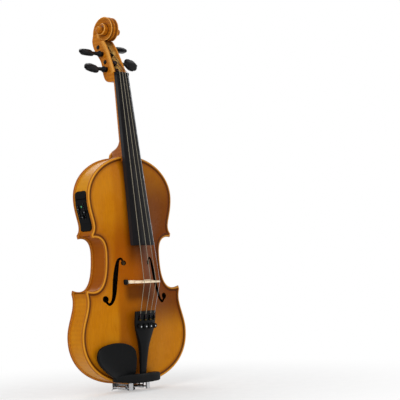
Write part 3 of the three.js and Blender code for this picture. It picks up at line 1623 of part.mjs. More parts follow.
const buttonFlange = overhang - seat;
add("end_button", turned([
  [-buttonPinLength, 0],
  [-buttonPinLength, buttonPinEndRadius],
  [-buttonFlange, buttonPinRadius],
  [-buttonFlange, buttonFlangeRadius],
  [buttonFlangeEnd, buttonFlangeRadius],
  [buttonFlangeEnd + seat, buttonNeckRadius],
  [buttonNeckEnd, buttonNeckRadius],
  [buttonNeckEnd + seat, buttonKnobRadius],
  [(buttonNeckEnd + buttonEnd) / 2 + seat, buttonKnobRadius],
  [buttonEnd, buttonFaceRadius],
  [buttonEnd, 0],
], jackSides, [0, 0, 0], [0, 0, -1]), finishes.black);

const gutLoop = buttonNeckRadius + seat + gutRadius;
const gutArcSteps = 6;
const gutSteps = 40;
const leadSteps = 24;
const gutArc = Array.from({ length: gutArcSteps + 1 }, (_, i) => {
  const turn = (Math.PI * i) / gutArcSteps;
  return [gutLoop * Math.cos(turn), gutLoop * Math.sin(turn), gutLoopRise];
});
const gutLine = [...gutRoute, ...gutArc, ...mirrored(gutRoute).reverse()];
add("tailgut", cord(gutLine, gutRadius, gutSteps), finishes.nylon);

// Everything on the tailpiece sits in its leaning frame
const tail = new THREE.Group();
tail.rotation.x = tailLean;
tail.position.set(0, -tailLevel, tailRise);
violin.add(tail);
add("tailpiece", tailpiece(), finishes.plastic, tail);
strings.forEach((string) => {
  add(`tuner_lever_${string.note}`, lever(string), finishes.steel, tail);
  add(`tuner_screw_${string.note}`, tunerScrew(string), finishes.plastic, tail);
});

add("bridge", bridge(topPlate), finishes.bridge);
pegs.forEach((peg) => add(`peg_${peg.note}`, join(pegTurned(peg), pegHead(peg)), finishes.black));
strings.forEach((string) => add(`string_${string.note}`, stringSolid(string), finishes.steel));

const rest = chinRest();
add("chin_rest", rest, finishes.plastic);
add("chin_rest_cork_bass", cork(-corkBassLeft, -corkBassRight, topPlate, rest), finishes.cork);
add("chin_rest_cork_treble", cork(corkTrebleLeft, corkTrebleRight, topPlate, rest), finishes.cork);
add("clamp_post_bass", upperClamp(-1, rest), finishes.steel);
add("clamp_post_treble", upperClamp(1, rest), finishes.steel);
add("clamp_barrel_bass", barrel(-1), finishes.steel);
add("clamp_barrel_treble", barrel(1), finishes.steel);
add("clamp_foot", lowerClamp(), finishes.steel);

add("preamp_housing", preampHousing(), finishes.plastic);
["slider_treble", "slider_bass", "slider_volume"].forEach((name, i) => {
  add(name, slider(i), finishes.plastic);
});
add("preamp_lamp", lamp(), finishes.green);
add("battery_door", batteryDoor(), finishes.plastic);

const cellSides = 20;
const cellEnds = [-1, 1].map((side) => [
  -cellCentre,
  panelMiddle,
  cellRise + (side * cellThickness) / 2,
]);
add("battery_cell", rod(...cellEnds, cellRadius - seat, cellSides), finishes.steel);

const circuitFront = tubInner + boardInset;
const circuitWall = tubMargin + tubWall + seat;
const circuitBoard = box(
  [-circuitFront - circuitThickness, -panelFront + circuitWall, tubLow + tubWall + seat],
  [-circuitFront, panelBack - circuitWall, panelDoor - 2 * tubWall],
);
add("circuit_board", circuitBoard, finishes.circuit);

add("output_jack", outputJack(), finishes.steel);
add("jack_nut", jackNut(), finishes.steel);

// Pickup, beside the bridge's bass foot, with its lead through the top
const pickupLevel = frontFace - archHeight(pickupOff, bridgeRise, topArch);
const pickupBlock = box(
  [-pickupOff - pickupHalfWidth, pickupLevel - pickupThickness, bridgeRise - pickupHalfLength],
  [-pickupOff + pickupHalfWidth, pickupLevel + pickupSink, bridgeRise + pickupHalfLength],
);
add("pickup", cut(pickupBlock, shifted(topPlate, 0, -seat, 0)), finishes.plastic);
const leadStart = [-pickupOff, pickupLevel + pickupSink + seat, bridgeRise];
const leadRoute = leadRows.map(([x, y, riseShare]) => [x, y, riseShare * bodyLength]);
add("pickup_lead", cord([leadStart, ...leadRoute], leadRadius, leadSteps), finishes.nylon);

export default violin;
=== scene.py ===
# %% [markdown]
# # Electric violin
# A violin is a thin wooden box with a neck, and this one has a small amplifier panel in its side. A CAD
# part says where each piece is and what it turns on, and this script dresses it. Every visible piece is a
# mesh worked out from curves, because a violin has hardly a flat face, and a curve in code is changed by
# one number. Sizes are in millimetres. +X is the treble side, -Y the front, and +Z points to the scroll.

from math import asin, atan2, cos, hypot, pi, radians, sin

import bmesh
import bpy
import numpy as np
from mathutils import Matrix, Vector
from mathutils.geometry import delaunay_2d_cdt


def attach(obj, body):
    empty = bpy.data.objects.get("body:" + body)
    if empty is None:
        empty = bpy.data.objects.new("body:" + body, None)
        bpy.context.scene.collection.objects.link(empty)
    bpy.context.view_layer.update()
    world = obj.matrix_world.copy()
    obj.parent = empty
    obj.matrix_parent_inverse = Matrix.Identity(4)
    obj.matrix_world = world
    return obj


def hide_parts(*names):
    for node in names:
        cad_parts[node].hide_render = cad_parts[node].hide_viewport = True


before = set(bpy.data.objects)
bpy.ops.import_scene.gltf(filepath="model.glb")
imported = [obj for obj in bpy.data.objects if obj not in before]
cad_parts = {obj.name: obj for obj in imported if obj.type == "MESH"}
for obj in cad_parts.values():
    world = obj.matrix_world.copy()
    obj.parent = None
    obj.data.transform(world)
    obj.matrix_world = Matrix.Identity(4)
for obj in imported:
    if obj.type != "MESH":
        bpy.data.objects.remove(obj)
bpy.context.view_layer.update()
MM = 0.001


def lerp(a, b, share):
    return a + (b - a) * share


def rising(value, low, high):
    """0 below low, 1 above high, with a soft slope between"""
    share = np.clip((value - low) / (high - low), 0, 1)
    return share * share * (3 - 2 * share)


print("frame loaded,", len(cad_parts), "nodes")

# %% [markdown]
# ## Lines through points
# A maker draws an outline through a few marks and fairs it by eye. A Catmull-Rom spline does the same,
# since it passes through every mark. A Bezier curve object would do too, but arrays of points are easier to
# measure, shift and share.

# %% Lines and lengths
def unit(vector):
    vector = np.asarray(vector, float)
    return vector / np.linalg.norm(vector)


def spline(points, steps, closed=False):
    """Smooth line through points, with this many steps in each span"""
    rows = np.asarray(points, float)
    count = len(rows)

    def row(k):
        return rows[k % count] if closed else rows[min(max(k, 0), count - 1)]

    line = []
    for i in range(count if closed else count - 1):
        a, b, c, d = row(i - 1), row(i), row(i + 1), row(i + 2)
        for t in np.arange(steps) / steps:
            line.append(0.5 * (2 * b + (c - a) * t + (2 * a - 5 * b + 4 * c - d) * t**2
                               + (3 * b - a - 3 * c + d) * t**3))
    return np.array(line if closed else [*line, rows[-1]])


def path_lengths(path):
    return np.concatenate([[0], np.cumsum(np.linalg.norm(np.diff(path, axis=0), axis=1))])


def evenly(path, count, low=0.0, high=None):
    """Points spaced evenly along a path, between two lengths on it"""
    path = np.asarray(path, float)
    lengths = path_lengths(path)
    places = np.linspace(low, lengths[-1] if high is None else high, count)
    return np.stack([np.interp(places, lengths, path[:, axis]) for axis in range(path.shape[1])], axis=1)


def directions(path):
    """The direction of a path at each of its points, with a length of 1"""
    run = np.gradient(path, axis=0)
    return run / np.linalg.norm(run, axis=1)[:, None]


def left_of(run):
    return np.c_[-run[:, 1], run[:, 0]]


def beside(path, distance):
    """A flat path moved to its left by a distance"""
    return path + distance * left_of(directions(path))


print("a spline through 3 points in 4 steps has", len(spline([[0, 0], [1, 1], [2, 0]], 4)), "points")

# %% [markdown]
# ## Skins over rings
# Most pieces of a violin are long and change their section slowly. A stack of rings with a skin of faces
# between them makes such a form, which Blender calls a bridge between edge loops. The Screw modifier could
# turn a peg, but rings keep all pieces in one kind of code.

# %% Lofts, turned forms and tubes
def loft(rings, closed=True, capped=True):
    """Skin over rings of points of equal count"""
    rings = np.asarray(rings, float)
    levels, count = rings.shape[:2]
    faces = []
    for level in range(levels - 1):
        for i in range(count if closed else count - 1):
            a, b = level * count + i, level * count + (i + 1) % count
            faces.append((a, b, b + count, a + count))
    if capped:
        faces += [tuple(range(count))[::-1], tuple(range((levels - 1) * count, levels * count))]
    return rings.reshape(-1, 3), faces


def around(count, shift=0.0):
    """Angles evenly round a circle"""
    return 2 * pi * (np.arange(count) + shift) / count


def across(direction):
    """Two directions square to a direction and to each other"""
    axis = unit(direction)
    side = unit(np.cross(axis, [0, 0, 1] if abs(axis[2]) < 0.7 else [1, 0, 0]))
    return side, np.cross(axis, side)


def lathe(profile, sides, start, direction, closed=False):
    """Turned form. Each row is [distance along, radius], with a third value for the depth of a knurl"""
    axis = unit(direction)
    side, other = across(direction)
    turns = around(sides)
    rings = []
    for along, radius, *knurl in profile:
        reach = radius + (knurl[0] * np.cos(turns * sides / 4) if knurl else 0)
        spokes = np.outer(np.cos(turns) * reach, side) + np.outer(np.sin(turns) * reach, other)
        rings.append(np.asarray(start) + axis * along + spokes)
    return loft([*rings, rings[0]], capped=False) if closed else loft(rings)


def tube(route, radius, sides=12):
    """Round tube along a route, of one radius or a radius for each point"""
    route = np.asarray(route, float)
    along = directions(route)
    side = across(along[0])[0]
    turns = around(sides)
    radii = np.broadcast_to(radius, len(route))
    rings = []
    for point, run, reach in zip(route, along, radii):
        side = unit(side - run * np.dot(run, side))
        other = np.cross(run, side)
        rings.append(point + reach * (np.outer(np.cos(turns), side) + np.outer(np.sin(turns), other)))
    return loft(rings)


print("rings of a test tube:", len(tube([[0, 0, 0], [0, 0, 1]], 1, 8)[0]) // 8)

# %% [markdown]
# ## Flat forms with eased edges
# The bridge, the panel and the clamp's strips are cut from sheet, and their edges are broken so that they
# catch a thin line of light. The outline is filled with triangles, given a second face, and joined by three
# bands, of which the outer two are the bevel. A Bevel modifier leaves slivers on an outline with holes and
# a curved face, so the bevel is built in.

# %% Flat forms with eased edges
def turned_way(loop, counterclockwise):
    loop = np.asarray(loop, float)
    nxt = np.roll(loop, -1, axis=0)
    area = np.sum(loop[:, 0] * nxt[:, 1] - nxt[:, 0] * loop[:, 1])
    return loop if (area > 0) == counterclockwise else loop[::-1]


def eased(loop, distance):
    """A closed loop moved to its left by a distance, with its corners kept"""
    back, ahead = loop - np.roll(loop, 1, axis=0), np.roll(loop, -1, axis=0) - loop
    back /= np.linalg.norm(back, axis=1)[:, None]
    ahead /= np.linalg.norm(ahead, axis=1)[:, None]
    one, two = left_of(back), left_of(ahead)
    room = np.maximum(1 + np.sum(one * two, axis=1), 0.4)
    return loop + distance * (one + two) / room[:, None]


def filled(loops, spacing):
    """Triangles that fill a flat outline with holes, with points inside it at a spacing"""
    points, edges = [], []
    for loop in loops:
        start = len(points)
        points += [Vector(point) for point in loop]
        edges += [(start + i, start + (i + 1) % len(loop)) for i in range(len(loop))]
    if spacing:
        rims = np.concatenate(loops)
        low, high = rims.min(0), rims.max(0)
        for u in np.arange(low[0] + spacing / 2, high[0], spacing):
            for v in np.arange(low[1] + spacing / 2, high[1], spacing):
                if np.min(np.hypot(*(rims - [u, v]).T)) > spacing * 0.45:
                    points.append(Vector((u, v)))
    flat, _, faces, *_ = delaunay_2d_cdt(points, edges, [], 2, 1e-7)
    return np.array([tuple(point) for point in flat]), [tuple(face) for face in faces]


def slab(outline, place, top, bottom=0.0, holes=(), bevel=0.3, spacing=0.0):
    """Solid over a flat outline with holes, with eased rims; place(u, v, level) gives its points"""
    top_at = top if callable(top) else lambda u, v: np.full_like(u, top)
    bottom_at = bottom if callable(bottom) else lambda u, v: np.full_like(u, bottom)
    loops = [turned_way(outline, True), *[turned_way(hole, False) for hole in holes]]
    inner = [eased(loop, bevel) for loop in loops]

    def points(flat, level, lift=0.0):
        u, v = np.asarray(flat)[:, 0], np.asarray(flat)[:, 1]
        return np.stack(np.broadcast_arrays(*place(u, v, level(u, v) + lift)), axis=1)

    sign = 1 if np.mean(top_at(*loops[0].T) - bottom_at(*loops[0].T)) > 0 else -1
    flat, faces = filled(inner, spacing)
    islands = [(points(flat, top_at), faces), (points(flat, bottom_at), faces)]
    for wide, narrow in zip(loops, inner):
        rings = [points(narrow, top_at), points(wide, top_at, -sign * bevel)]
        rings += [points(wide, bottom_at, sign * bevel), points(narrow, bottom_at)]
        islands.append(loft(rings, capped=False))
    return islands


def from_front(x, z, level):
    """Place for a flat form that is seen from the front"""
    return x, level, z


def from_side(middle):
    """Place for a flat form that is seen from the side, with its middle this far across"""
    return lambda y, z, out: (middle + out, y, z)


print("a square slab has", len(slab([[0, 0], [4, 0], [4, 4], [0, 4]], from_front, 1.0)), "islands")

# %% [markdown]
# ## From points to Blender objects
# Blender keeps shape in a mesh and place in an object. Doubled points are merged and normals turned
# outwards, so that light and export agree. Holes are cut with the exact Boolean, as a drill would. Each
# piece is told which body it rides on, its material slot, and the CAD solids that it stands for, so a peg
# turns with its own joint.

# %% From points to Blender objects
def merged(islands):
    points = np.concatenate([np.asarray(points, float) for points, _ in islands])
    faces, start = [], 0
    for island, corners in islands:
        faces += [tuple(int(i) + start for i in face) for face in corners]
        start += len(island)
    return points, faces


def mesh_from(name, islands, scale=MM):
    points, faces = merged(islands)
    mesh = bpy.data.meshes.new(name)
    mesh.from_pydata((points * scale).tolist(), [], faces)
    work = bmesh.new()
    work.from_mesh(mesh)
    bmesh.ops.remove_doubles(work, verts=work.verts, dist=0.002 * scale)
    bmesh.ops.dissolve_degenerate(work, edges=work.edges, dist=0.0005 * scale)
    bmesh.ops.recalc_face_normals(work, faces=work.faces)
    work.to_mesh(mesh)
    work.free()
    return mesh


def read(mesh):
    points = np.empty(len(mesh.vertices) * 3)
    mesh.vertices.foreach_get("co", points)
    return points.reshape(-1, 3), [tuple(face.vertices) for face in mesh.polygons]


def placed(name, data):
    """A new object with this data, put into the scene"""
    made = bpy.data.objects.new(name, data)
    bpy.context.scene.collection.objects.link(made)
    return made


def carved(body, cutters):
    """A closed form with other closed forms cut from it"""
    scratch = [placed("scratch", mesh_from("scratch", [form], 1.0)) for form in (body, *cutters)]
    for cutter in scratch[1:]:
        change = scratch[0].modifiers.new("carve", "BOOLEAN")
        change.operation, change.solver = "DIFFERENCE", "EXACT"
        change.object = cutter
    bpy.context.view_layer.update()
    solved = scratch[0].evaluated_get(bpy.context.evaluated_depsgraph_get())
    result = bpy.data.meshes.new_from_object(solved)
    shape = read(result)
    for work in scratch:
        bpy.data.meshes.remove(work.data)
    bpy.data.meshes.remove(result)
    return shape


def piece(name, islands, looks, nodes=(), body="violin", crease=35, choose=None, values=None):
    """A shown piece: its mesh, finish, body, and the CAD nodes that it stands for"""
    mesh = mesh_from(name, islands)
    for look in looks if isinstance(looks, list) else [looks]:
        mesh.materials.append(look)
    mesh.polygons.foreach_set("use_smooth", [True] * len(mesh.polygons))
    mesh.set_sharp_from_angle(angle=radians(crease))
    points = read(mesh)[0] / MM
    if choose:
        centres = np.array([face.center for face in mesh.polygons]) / MM
        mesh.polygons.foreach_set("material_index", np.asarray(choose(centres), int))
    for label, rule in (values or {}).items():
        data = mesh.attributes.new(label, "FLOAT", "POINT").data
        data.foreach_set("value", rule(points).astype(np.float32))
    made = placed(name, mesh)
    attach(made, body)
    if nodes:
        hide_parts(*([nodes] if isinstance(nodes, str) else nodes))
    return made


print("mesh makers ready")

# %% [markdown]
# ## Talking to the shader editor
# A finish is a small graph of nodes: noise and waves go in, colour and roughness come out. In code each
# node is one call, and a link is one node's output handed to the next. Colours are screen codes, turned
# into linear light first, or a golden brown would come out too pale.

# %% Node helpers
def paint(code):
    """Shader colour from a plain six-digit colour code"""
    shares = [int(code[i : i + 2], 16) / 255 for i in (0, 2, 4)]
    return (*[c / 12.92 if c <= 0.04045 else ((c + 0.055) / 1.055) ** 2.4 for c in shares], 1.0)


def maker(tree):
    def make(kind, inputs=None, **settings):
        made = tree.nodes.new("ShaderNode" + kind)
        for key, value in settings.items():
            setattr(made, key, value)
        for key, value in (inputs or {}).items():
            if isinstance(value, bpy.types.NodeSocket):
                tree.links.new(value, made.inputs[key])
            else:
                made.inputs[key].default_value = value
        return made

    return make


def effect(name, inputs, outputs, fill):
    """A node group with named inputs, filled by a function that gives its outputs' sockets"""
    tree = bpy.data.node_groups.new(name, "ShaderNodeTree")
    for label, kind, value in inputs:
        tree.interface.new_socket(name=label, in_out="INPUT",
                                  socket_type="NodeSocket" + kind).default_value = value
    for label in outputs:
        tree.interface.new_socket(name=label, in_out="OUTPUT", socket_type="NodeSocketFloat")
    start, end = tree.nodes.new("NodeGroupInput"), tree.nodes.new("NodeGroupOutput")
    for label, socket in zip(outputs, fill(maker(tree), start.outputs)):
        tree.links.new(socket, end.inputs[label])
    return tree


def math(make, operation, *values, clamp=False):
    return make("Math", dict(enumerate(values)), operation=operation, use_clamp=clamp).outputs[0]


def times(make, *shares):
    """Shares multiplied together"""
    value = shares[0]
    for share in shares[1:]:
        value = math(make, "MULTIPLY", value, share)
    return value


def ramp(make, value, low, high, start=0.0, end=1.0):
    keys = {"Value": value, "From Min": low, "From Max": high, "To Min": start, "To Max": end}
    return make("MapRange", keys, interpolation_type="SMOOTHSTEP").outputs[0]


def band(make, value, low, full, still, high):
    """0 below low, 1 from full to still, 0 above high"""
    return times(make, ramp(make, value, low, full), ramp(make, value, still, high, 1.0, 0.0))


def near(make, value, middle, inside, outside):
    """1 up to one distance from a middle, and 0 beyond another"""
    gap = math(make, "ABSOLUTE", math(make, "ADD", value, -middle))
    return ramp(make, gap, inside, outside, 1.0, 0.0)


def mixed(make, share, a, b):
    inputs = {0: share, 6: a, 7: b}
    return make("Mix", inputs, data_type="RGBA", blend_type="MIX", clamp_factor=True).outputs[2]


def tinted(make, tone, code, *shares):
    """A tone with a colour mixed in, by the product of the shares"""
    return mixed(make, times(make, *shares), tone, paint(code))


def mark(make, name):
    """A number that the mesh carries at each point"""
    return make("Attribute", attribute_name=name).outputs["Fac"]


def axes_of(make, vector):
    return make("SeparateXYZ", {0: vector}).outputs


def scaled(make, vector, factors):
    return make("VectorMath", {0: vector, 1: factors}, operation="MULTIPLY").outputs[0]


def noise(make, vector, scale, detail, **more):
    return make("TexNoise", {"Vector": vector, "Scale": scale, "Detail": detail, **more}).outputs[0]


print("a mid brown is", [round(share, 3) for share in paint("8a4a0c")[:3]], "in linear light")

# %% [markdown]
# ## Effects that several finishes share
# Wood fibre, flame, growth rings and the wear of handling show on many pieces. Each is a node group with
# named inputs, built once and placed with its own numbers, so that a change reaches every finish. Fibre is
# noise stretched along the grain. Flame, the bands across maple, is a wave bent by slow noise. The groups
# put out masks only, and the shader stays in the material.

# %% Shared effects
def fibre_fill(make, given):
    drawn = scaled(make, given["Vector"], given["Stretch"])
    fine = noise(make, drawn, given["Scale"], 5.0, Roughness=0.62)
    return ramp(make, fine, 0.38, 0.66), ramp(make, noise(make, drawn, 140.0, 2.0), 0.3, 0.7)


def flame_fill(make, given):
    drift = math(make, "SUBTRACT", noise(make, given["Vector"], 26.0, 3.0), 0.5)
    spread = make("CombineXYZ", {0: times(make, drift, given["Wander"])}).outputs[0]
    bent = make("VectorMath", {0: given["Vector"], 1: spread}, operation="ADD").outputs[0]
    inputs = {"Vector": bent, "Scale": given["Scale"], "Distortion": 2.6, "Detail": 2.0,
              "Detail Scale": 0.8}
    bands = make("TexWave", inputs, wave_type="BANDS", bands_direction="X").outputs[1]
    return (ramp(make, bands, 0.15, 0.85),)


def wear_fill(make, given):
    cloud = noise(make, given["Vector"], 38.0, 4.0, Roughness=0.6)
    hair = noise(make, scaled(make, given["Vector"], (1.0, 1.0, 0.16)), given["Scale"], 3.0, Distortion=1.2)
    dust = noise(make, given["Vector"], 2200.0, 1.0)
    return ramp(make, cloud, 0.35, 0.72), ramp(make, hair, 0.6, 0.68), dust


def lines_fill(make, given):
    """Growth rings of quarter-cut wood: thin dark lines across x that run along z"""
    drift = noise(make, scaled(make, given["Vector"], (1.0, 1.0, 0.12)), 22.0, 2.0)
    moved = math(make, "ADD", axes_of(make, given["Vector"])[0], times(make, drift, 0.006))
    return (ramp(make, math(make, "FRACT", times(make, moved, given["Rings"])), 0.55, 1.0),)


vector_in = ("Vector", "Vector", (0.0, 0.0, 0.0))
fibres = effect("wood_fibres",
                [vector_in, ("Stretch", "Vector", (1.0, 1.0, 0.05)), ("Scale", "Float", 900.0)],
                ["Fine", "Broad"], fibre_fill)
flames = effect("maple_flame", [vector_in, ("Scale", "Float", 60.0), ("Wander", "Float", 0.01)], ["Flame"],
                flame_fill)
wear = effect("handling_wear", [vector_in, ("Scale", "Float", 420.0)], ["Cloud", "Hairlines", "Dust"],
              wear_fill)
rings = effect("growth_rings", [vector_in, ("Rings", "Float", 650.0)], ["Line"], lines_fill)
print("node groups:", len(bpy.data.node_groups))

# %% [markdown]
# ## Varnish
# Violin varnish is clear and coloured, in thin coats, so the grain shows through and the tone is deeper
# where it pools. A real layer of glass would be slow and noisy, so one Principled shader does it: three
# browns mixed by fibre and cloudiness, a golden highlight, and a faint bump of fibre.

# %% Finish and varnish makers
def finish(name, fill):
    """A material whose Principled inputs come from a function of its nodes and object coordinates"""
    material = bpy.data.materials.new(name)
    material.use_nodes = True
    tree = material.node_tree
    tree.nodes.clear()
    make = maker(tree)
    place = make("TexCoord").outputs["Object"]
    shader = make("BsdfPrincipled", fill(make, place))
    make("OutputMaterial", {"Surface": shader.outputs[0]})
    return material


def use(make, tree, **inputs):
    """A shared effect in this material, with its own numbers"""
    return make("Group", inputs, node_tree=tree).outputs


def bumped(make, height, strength, distance=0.0002):
    return make("Bump", {"Height": height, "Strength": strength, "Distance": distance}).outputs[0]


def varnished(name, colour, dark, bright, grain, rough=0.3, coat=0.06, spec=0.3, colour_rule=None):
    """Clear varnish over wood: colour moves between three tones with fibre, flame and cloudiness"""

    def fill(make, place):
        fibre = use(make, fibres, Vector=place, Scale=grain)
        worn = use(make, wear, Vector=place)
        tone = tinted(make, paint(colour), dark, fibre["Fine"], 0.34)
        tone = tinted(make, tone, bright, worn["Cloud"], 0.22)
        tone = colour_rule(make, place, tone) if colour_rule else tone
        cloudy = ramp(make, worn["Cloud"], 0.0, 1.0, rough - 0.05, rough + 0.09)
        return {
            "Base Color": tone,
            "Roughness": math(make, "ADD", cloudy, times(make, worn["Hairlines"], 0.1)),
            "Specular IOR Level": spec,
            "Specular Tint": paint("ffa23c"),
            "Coat Weight": coat,
            "Coat Roughness": 0.1,
            "Normal": bumped(make, fibre["Fine"], 0.12),
        }

    return finish(name, fill)


print("finish makers ready")

# %% [markdown]
# ## Tones of the belly
# The front plate is spruce, with growth rings as fine dark lines. Painted shade darkens it along the
# middle, in the waist and on the treble side, and painted shadows of the fingerboard's end and the bridge
# darken it most. Painting this would need an image, so position gives it: soft ramps over x and z make
# masks, and each mixes in a darker brown.

# %% Tones of the belly
def belly_rule(make, place, tone):
    """Spruce rings, painted shade in the middle, waist and treble side, painted shadows of board and
    bridge, and the purfling line with a painted highlight on the rim
    """
    x, _, z = axes_of(make, place)
    tone = tinted(make, tone, "8a4a0c", use(make, rings, Vector=place)["Line"], 0.2)
    # painted shade: a darker band along the middle and across the waist
    middle, waist = band(make, x, -0.043, -0.033, 0.002, 0.024), near(make, z, 0.19, 0.015, 0.09)
    shade = math(make, "ADD", times(make, middle, 0.34), times(make, waist, 0.48), clamp=True)
    tone = tinted(make, tone, "964604", shade)
    # painted shade along the middle of the lower bout
    tone = tinted(make, tone, "7c3802", middle, ramp(make, z, 0.1, 0.15, 0.5, 0.0))
    # painted shade on the treble side
    treble = ramp(make, x, -0.006, 0.02), ramp(make, z, 0.07, 0.125), ramp(make, z, 0.27, 0.34, 0.86, 0.45)
    tone = tinted(make, tone, "602702", *treble)
    # painted shadow of the fingerboard's end on the belly
    board = ramp(make, x, -0.025, -0.01), ramp(make, x, 0.012, 0.03, 0.75, 0.0)
    tone = tinted(make, tone, "3c1502", ramp(make, z, 0.165, 0.208), *board)
    # painted shadow of the bridge on the belly just below it
    bridge = ramp(make, x, -0.032, -0.018), ramp(make, x, 0.02, 0.036, 0.75, 0.0)
    tone = tinted(make, tone, "3c1502", *bridge, band(make, z, 0.118, 0.136, 0.147, 0.157))
    return edged(make, tone)


print("belly rule ready")

# %% [markdown]
# ## Purfling, back, ribs and head
# Purfling is an inlaid line of three thin strips that keeps cracks from running in. The mesh carries its
# distance from the edge, and ramps over that draw the line with no texture. The same ramps paint a
# highlight on the rim and shade on its outer wall and in the channel. The back is maple whose flame slopes
# away from the middle joint. On the ribs the flame follows the length along the bent wood, and painted
# light and shade change their tone with the height.

# %% Purfling, back, ribs and head
def edged(make, tone):
    """The rim of a plate, with a painted highlight and painted shade, and its purfling, by the distance
    from the edge in millimetres
    """
    gap = mark(make, "edge_gap")
    # painted highlight: a paler band on the rounded rim
    tone = tinted(make, tone, "e3a23c", band(make, gap, 0.3, 1.0, 2.0, 3.0), 0.62)
    # painted shade on the outer wall of the edge
    tone = tinted(make, tone, "8e4e10", ramp(make, gap, 0.1, 0.8, 0.55, 0.0))
    # painted shade in the channel along the purfling
    tone = tinted(make, tone, "6e2c04", band(make, gap, 2.4, 4.4, 5.0, 12.0), 0.62)
    tone = tinted(make, tone, "8a4a12", band(make, gap, 4.6, 4.8, 5.0, 5.2), 0.6)
    outer, inner = band(make, gap, 3.5, 3.8, 4.6, 4.8), band(make, gap, 5.0, 5.2, 6.0, 6.3)
    return tinted(make, tone, "260d03", math(make, "ADD", outer, inner, clamp=True), 0.92)


def back_rule(make, place, tone):
    """Flame that runs outwards and down from a middle joint, with the purfling line"""
    x, _, z = axes_of(make, place)
    out = math(make, "ABSOLUTE", x)
    slope = math(make, "SUBTRACT", z, times(make, out, 0.28))
    led = make("CombineXYZ", {0: slope, 1: times(make, out, 0.25)}).outputs[0]
    tone = tinted(make, tone, "7e3a0c", use(make, flames, Vector=led, Scale=38.0)["Flame"], 0.5)
    return edged(make, tinted(make, tone, "4a200a", ramp(make, out, 0.0001, 0.0004, 0.5, 0.0)))


def rib_rule(make, place, tone):
    """Flame across the ribs, which follows each rib round its bout, with painted light on the upper bout,
    a painted floor reflection near the bottom and painted shade in the waist
    """
    _, depth, rise = axes_of(make, place)
    led = make("CombineXYZ", {0: times(make, mark(make, "along"), 0.001), 1: depth}).outputs[0]
    flame = use(make, flames, Vector=led, Scale=44.0, Wander=0.008)["Flame"]
    tone = tinted(make, tone, "8a4a10", flame, 0.1)
    # painted light: the upper bout's ribs are lighter
    tone = tinted(make, tone, "dca02c", ramp(make, rise, 0.24, 0.29, 0.0, 0.4))
    # painted reflection of the pale floor: the ribs are lighter near the bottom
    tone = tinted(make, tone, "e6b468", ramp(make, rise, 0.01, 0.07, 0.4, 0.0))
    # painted shade: the ribs are darker in the waist
    return tinted(make, tone, "843604", near(make, rise, 0.19, 0.036, 0.062), 0.72)


def neck_rule(make, place, tone):
    """Flame across the neck and head, with painted light in the trough, a painted highlight on rims, and
    painted shade in grooves and at the heel
    """
    x, y, z = axes_of(make, place)
    led = make("CombineXYZ", {0: z, 1: times(make, y, 0.5), 2: x}).outputs[0]
    tone = tinted(make, tone, "7c3a0c", use(make, flames, Vector=led, Scale=52.0)["Flame"], 0.26)
    # painted light inside the pegbox's trough, which lies in shade
    tone = tinted(make, tone, "ffd67c", mark(make, "hollow"))
    # painted shade in the grooves, the volute's steps and the throat under it
    tone = tinted(make, tone, "52240a", mark(make, "groove"), 0.8)
    # painted highlight on the bevelled rims
    tone = tinted(make, tone, "e2a24c", mark(make, "rim"), 0.8)
    # painted shade towards the heel
    return tinted(make, tone, "6e300a", ramp(make, z, 0.37, 0.42, 0.5, 0.0))


print("rules for edge, back, ribs and head ready")

# %% [markdown]
# ## Black fittings and metal
# Ebony is nearly black, with fine pores and a dull shine, and moulded plastic has a more even sheen. Both
# come from one maker with a number for the pores. Steel and brass are fully metallic, with fine drawn
# lines. The black pieces reflect little, or the pale room would turn them grey.

# %% Black fittings and metal
def black(name, colour, light, rough, coat=0.0, spec=0.1, grain=0.0):
    """Black fittings: a dull sheen that varies with handling, and pores where it is ebony"""

    def fill(make, place):
        worn = use(make, wear, Vector=place)
        fibre = use(make, fibres, Vector=place, Scale=1300.0)
        pores = times(make, fibre["Fine"], grain)
        pale = math(make, "MAXIMUM", times(make, worn["Hairlines"], 0.5), pores)
        relief = math(make, "ADD", pores, times(make, worn["Dust"], 0.3))
        return {
            "Base Color": tinted(make, paint(colour), light, pale, 0.6),
            "Roughness": ramp(make, worn["Cloud"], 0.0, 1.0, rough - 0.06, rough + 0.1),
            "Specular IOR Level": spec,
            "Coat Weight": coat,
            "Coat Roughness": 0.08,
            "Normal": bumped(make, relief, 0.12),
        }

    return finish(name, fill)


def metal(name, colour, dark, rough, brushed=0.35):
    """Metal with fine lines along it"""

    def fill(make, place):
        worn = use(make, wear, Vector=place)
        line = use(make, fibres, Vector=place, Scale=1600.0)
        tint = math(make, "ADD", worn["Cloud"], line["Fine"])
        return {
            "Base Color": tinted(make, paint(colour), dark, tint, 0.3),
            "Metallic": 1.0,
            "Roughness": ramp(make, line["Fine"], 0.0, 1.0, rough, rough + 0.14),
            "Normal": bumped(make, line["Fine"], brushed, 0.00006),
        }

    return finish(name, fill)


belly = varnished("top_varnish", "c57a08", "a35a06", "d6921c", 1000.0, spec=0.13, coat=0.04,
                  colour_rule=belly_rule)
back_varnish = varnished("back_varnish", "a65612", "7d3a0b", "bd7424", 700.0, colour_rule=back_rule)
rib_varnish = varnished("rib_varnish", "c47a10", "a45a0a", "d89a30", 700.0, rough=0.38, spec=0.05,
                        coat=0.0, colour_rule=rib_rule)
neck_varnish = varnished("neck_varnish", "bc6e12", "944c0a", "d8922c", 700.0, spec=0.09, coat=0.04,
                         colour_rule=neck_rule)
ebony = black("ebony", "0c0b0d", "1d1a1c", 0.36, grain=0.6)
# painted light: the fingerboard's sides get a paler black, as if lit
ebony_side_painted_light = black("ebony_side_painted_light", "1c1b1d", "29292b", 0.5, spec=0.2, grain=0.6)
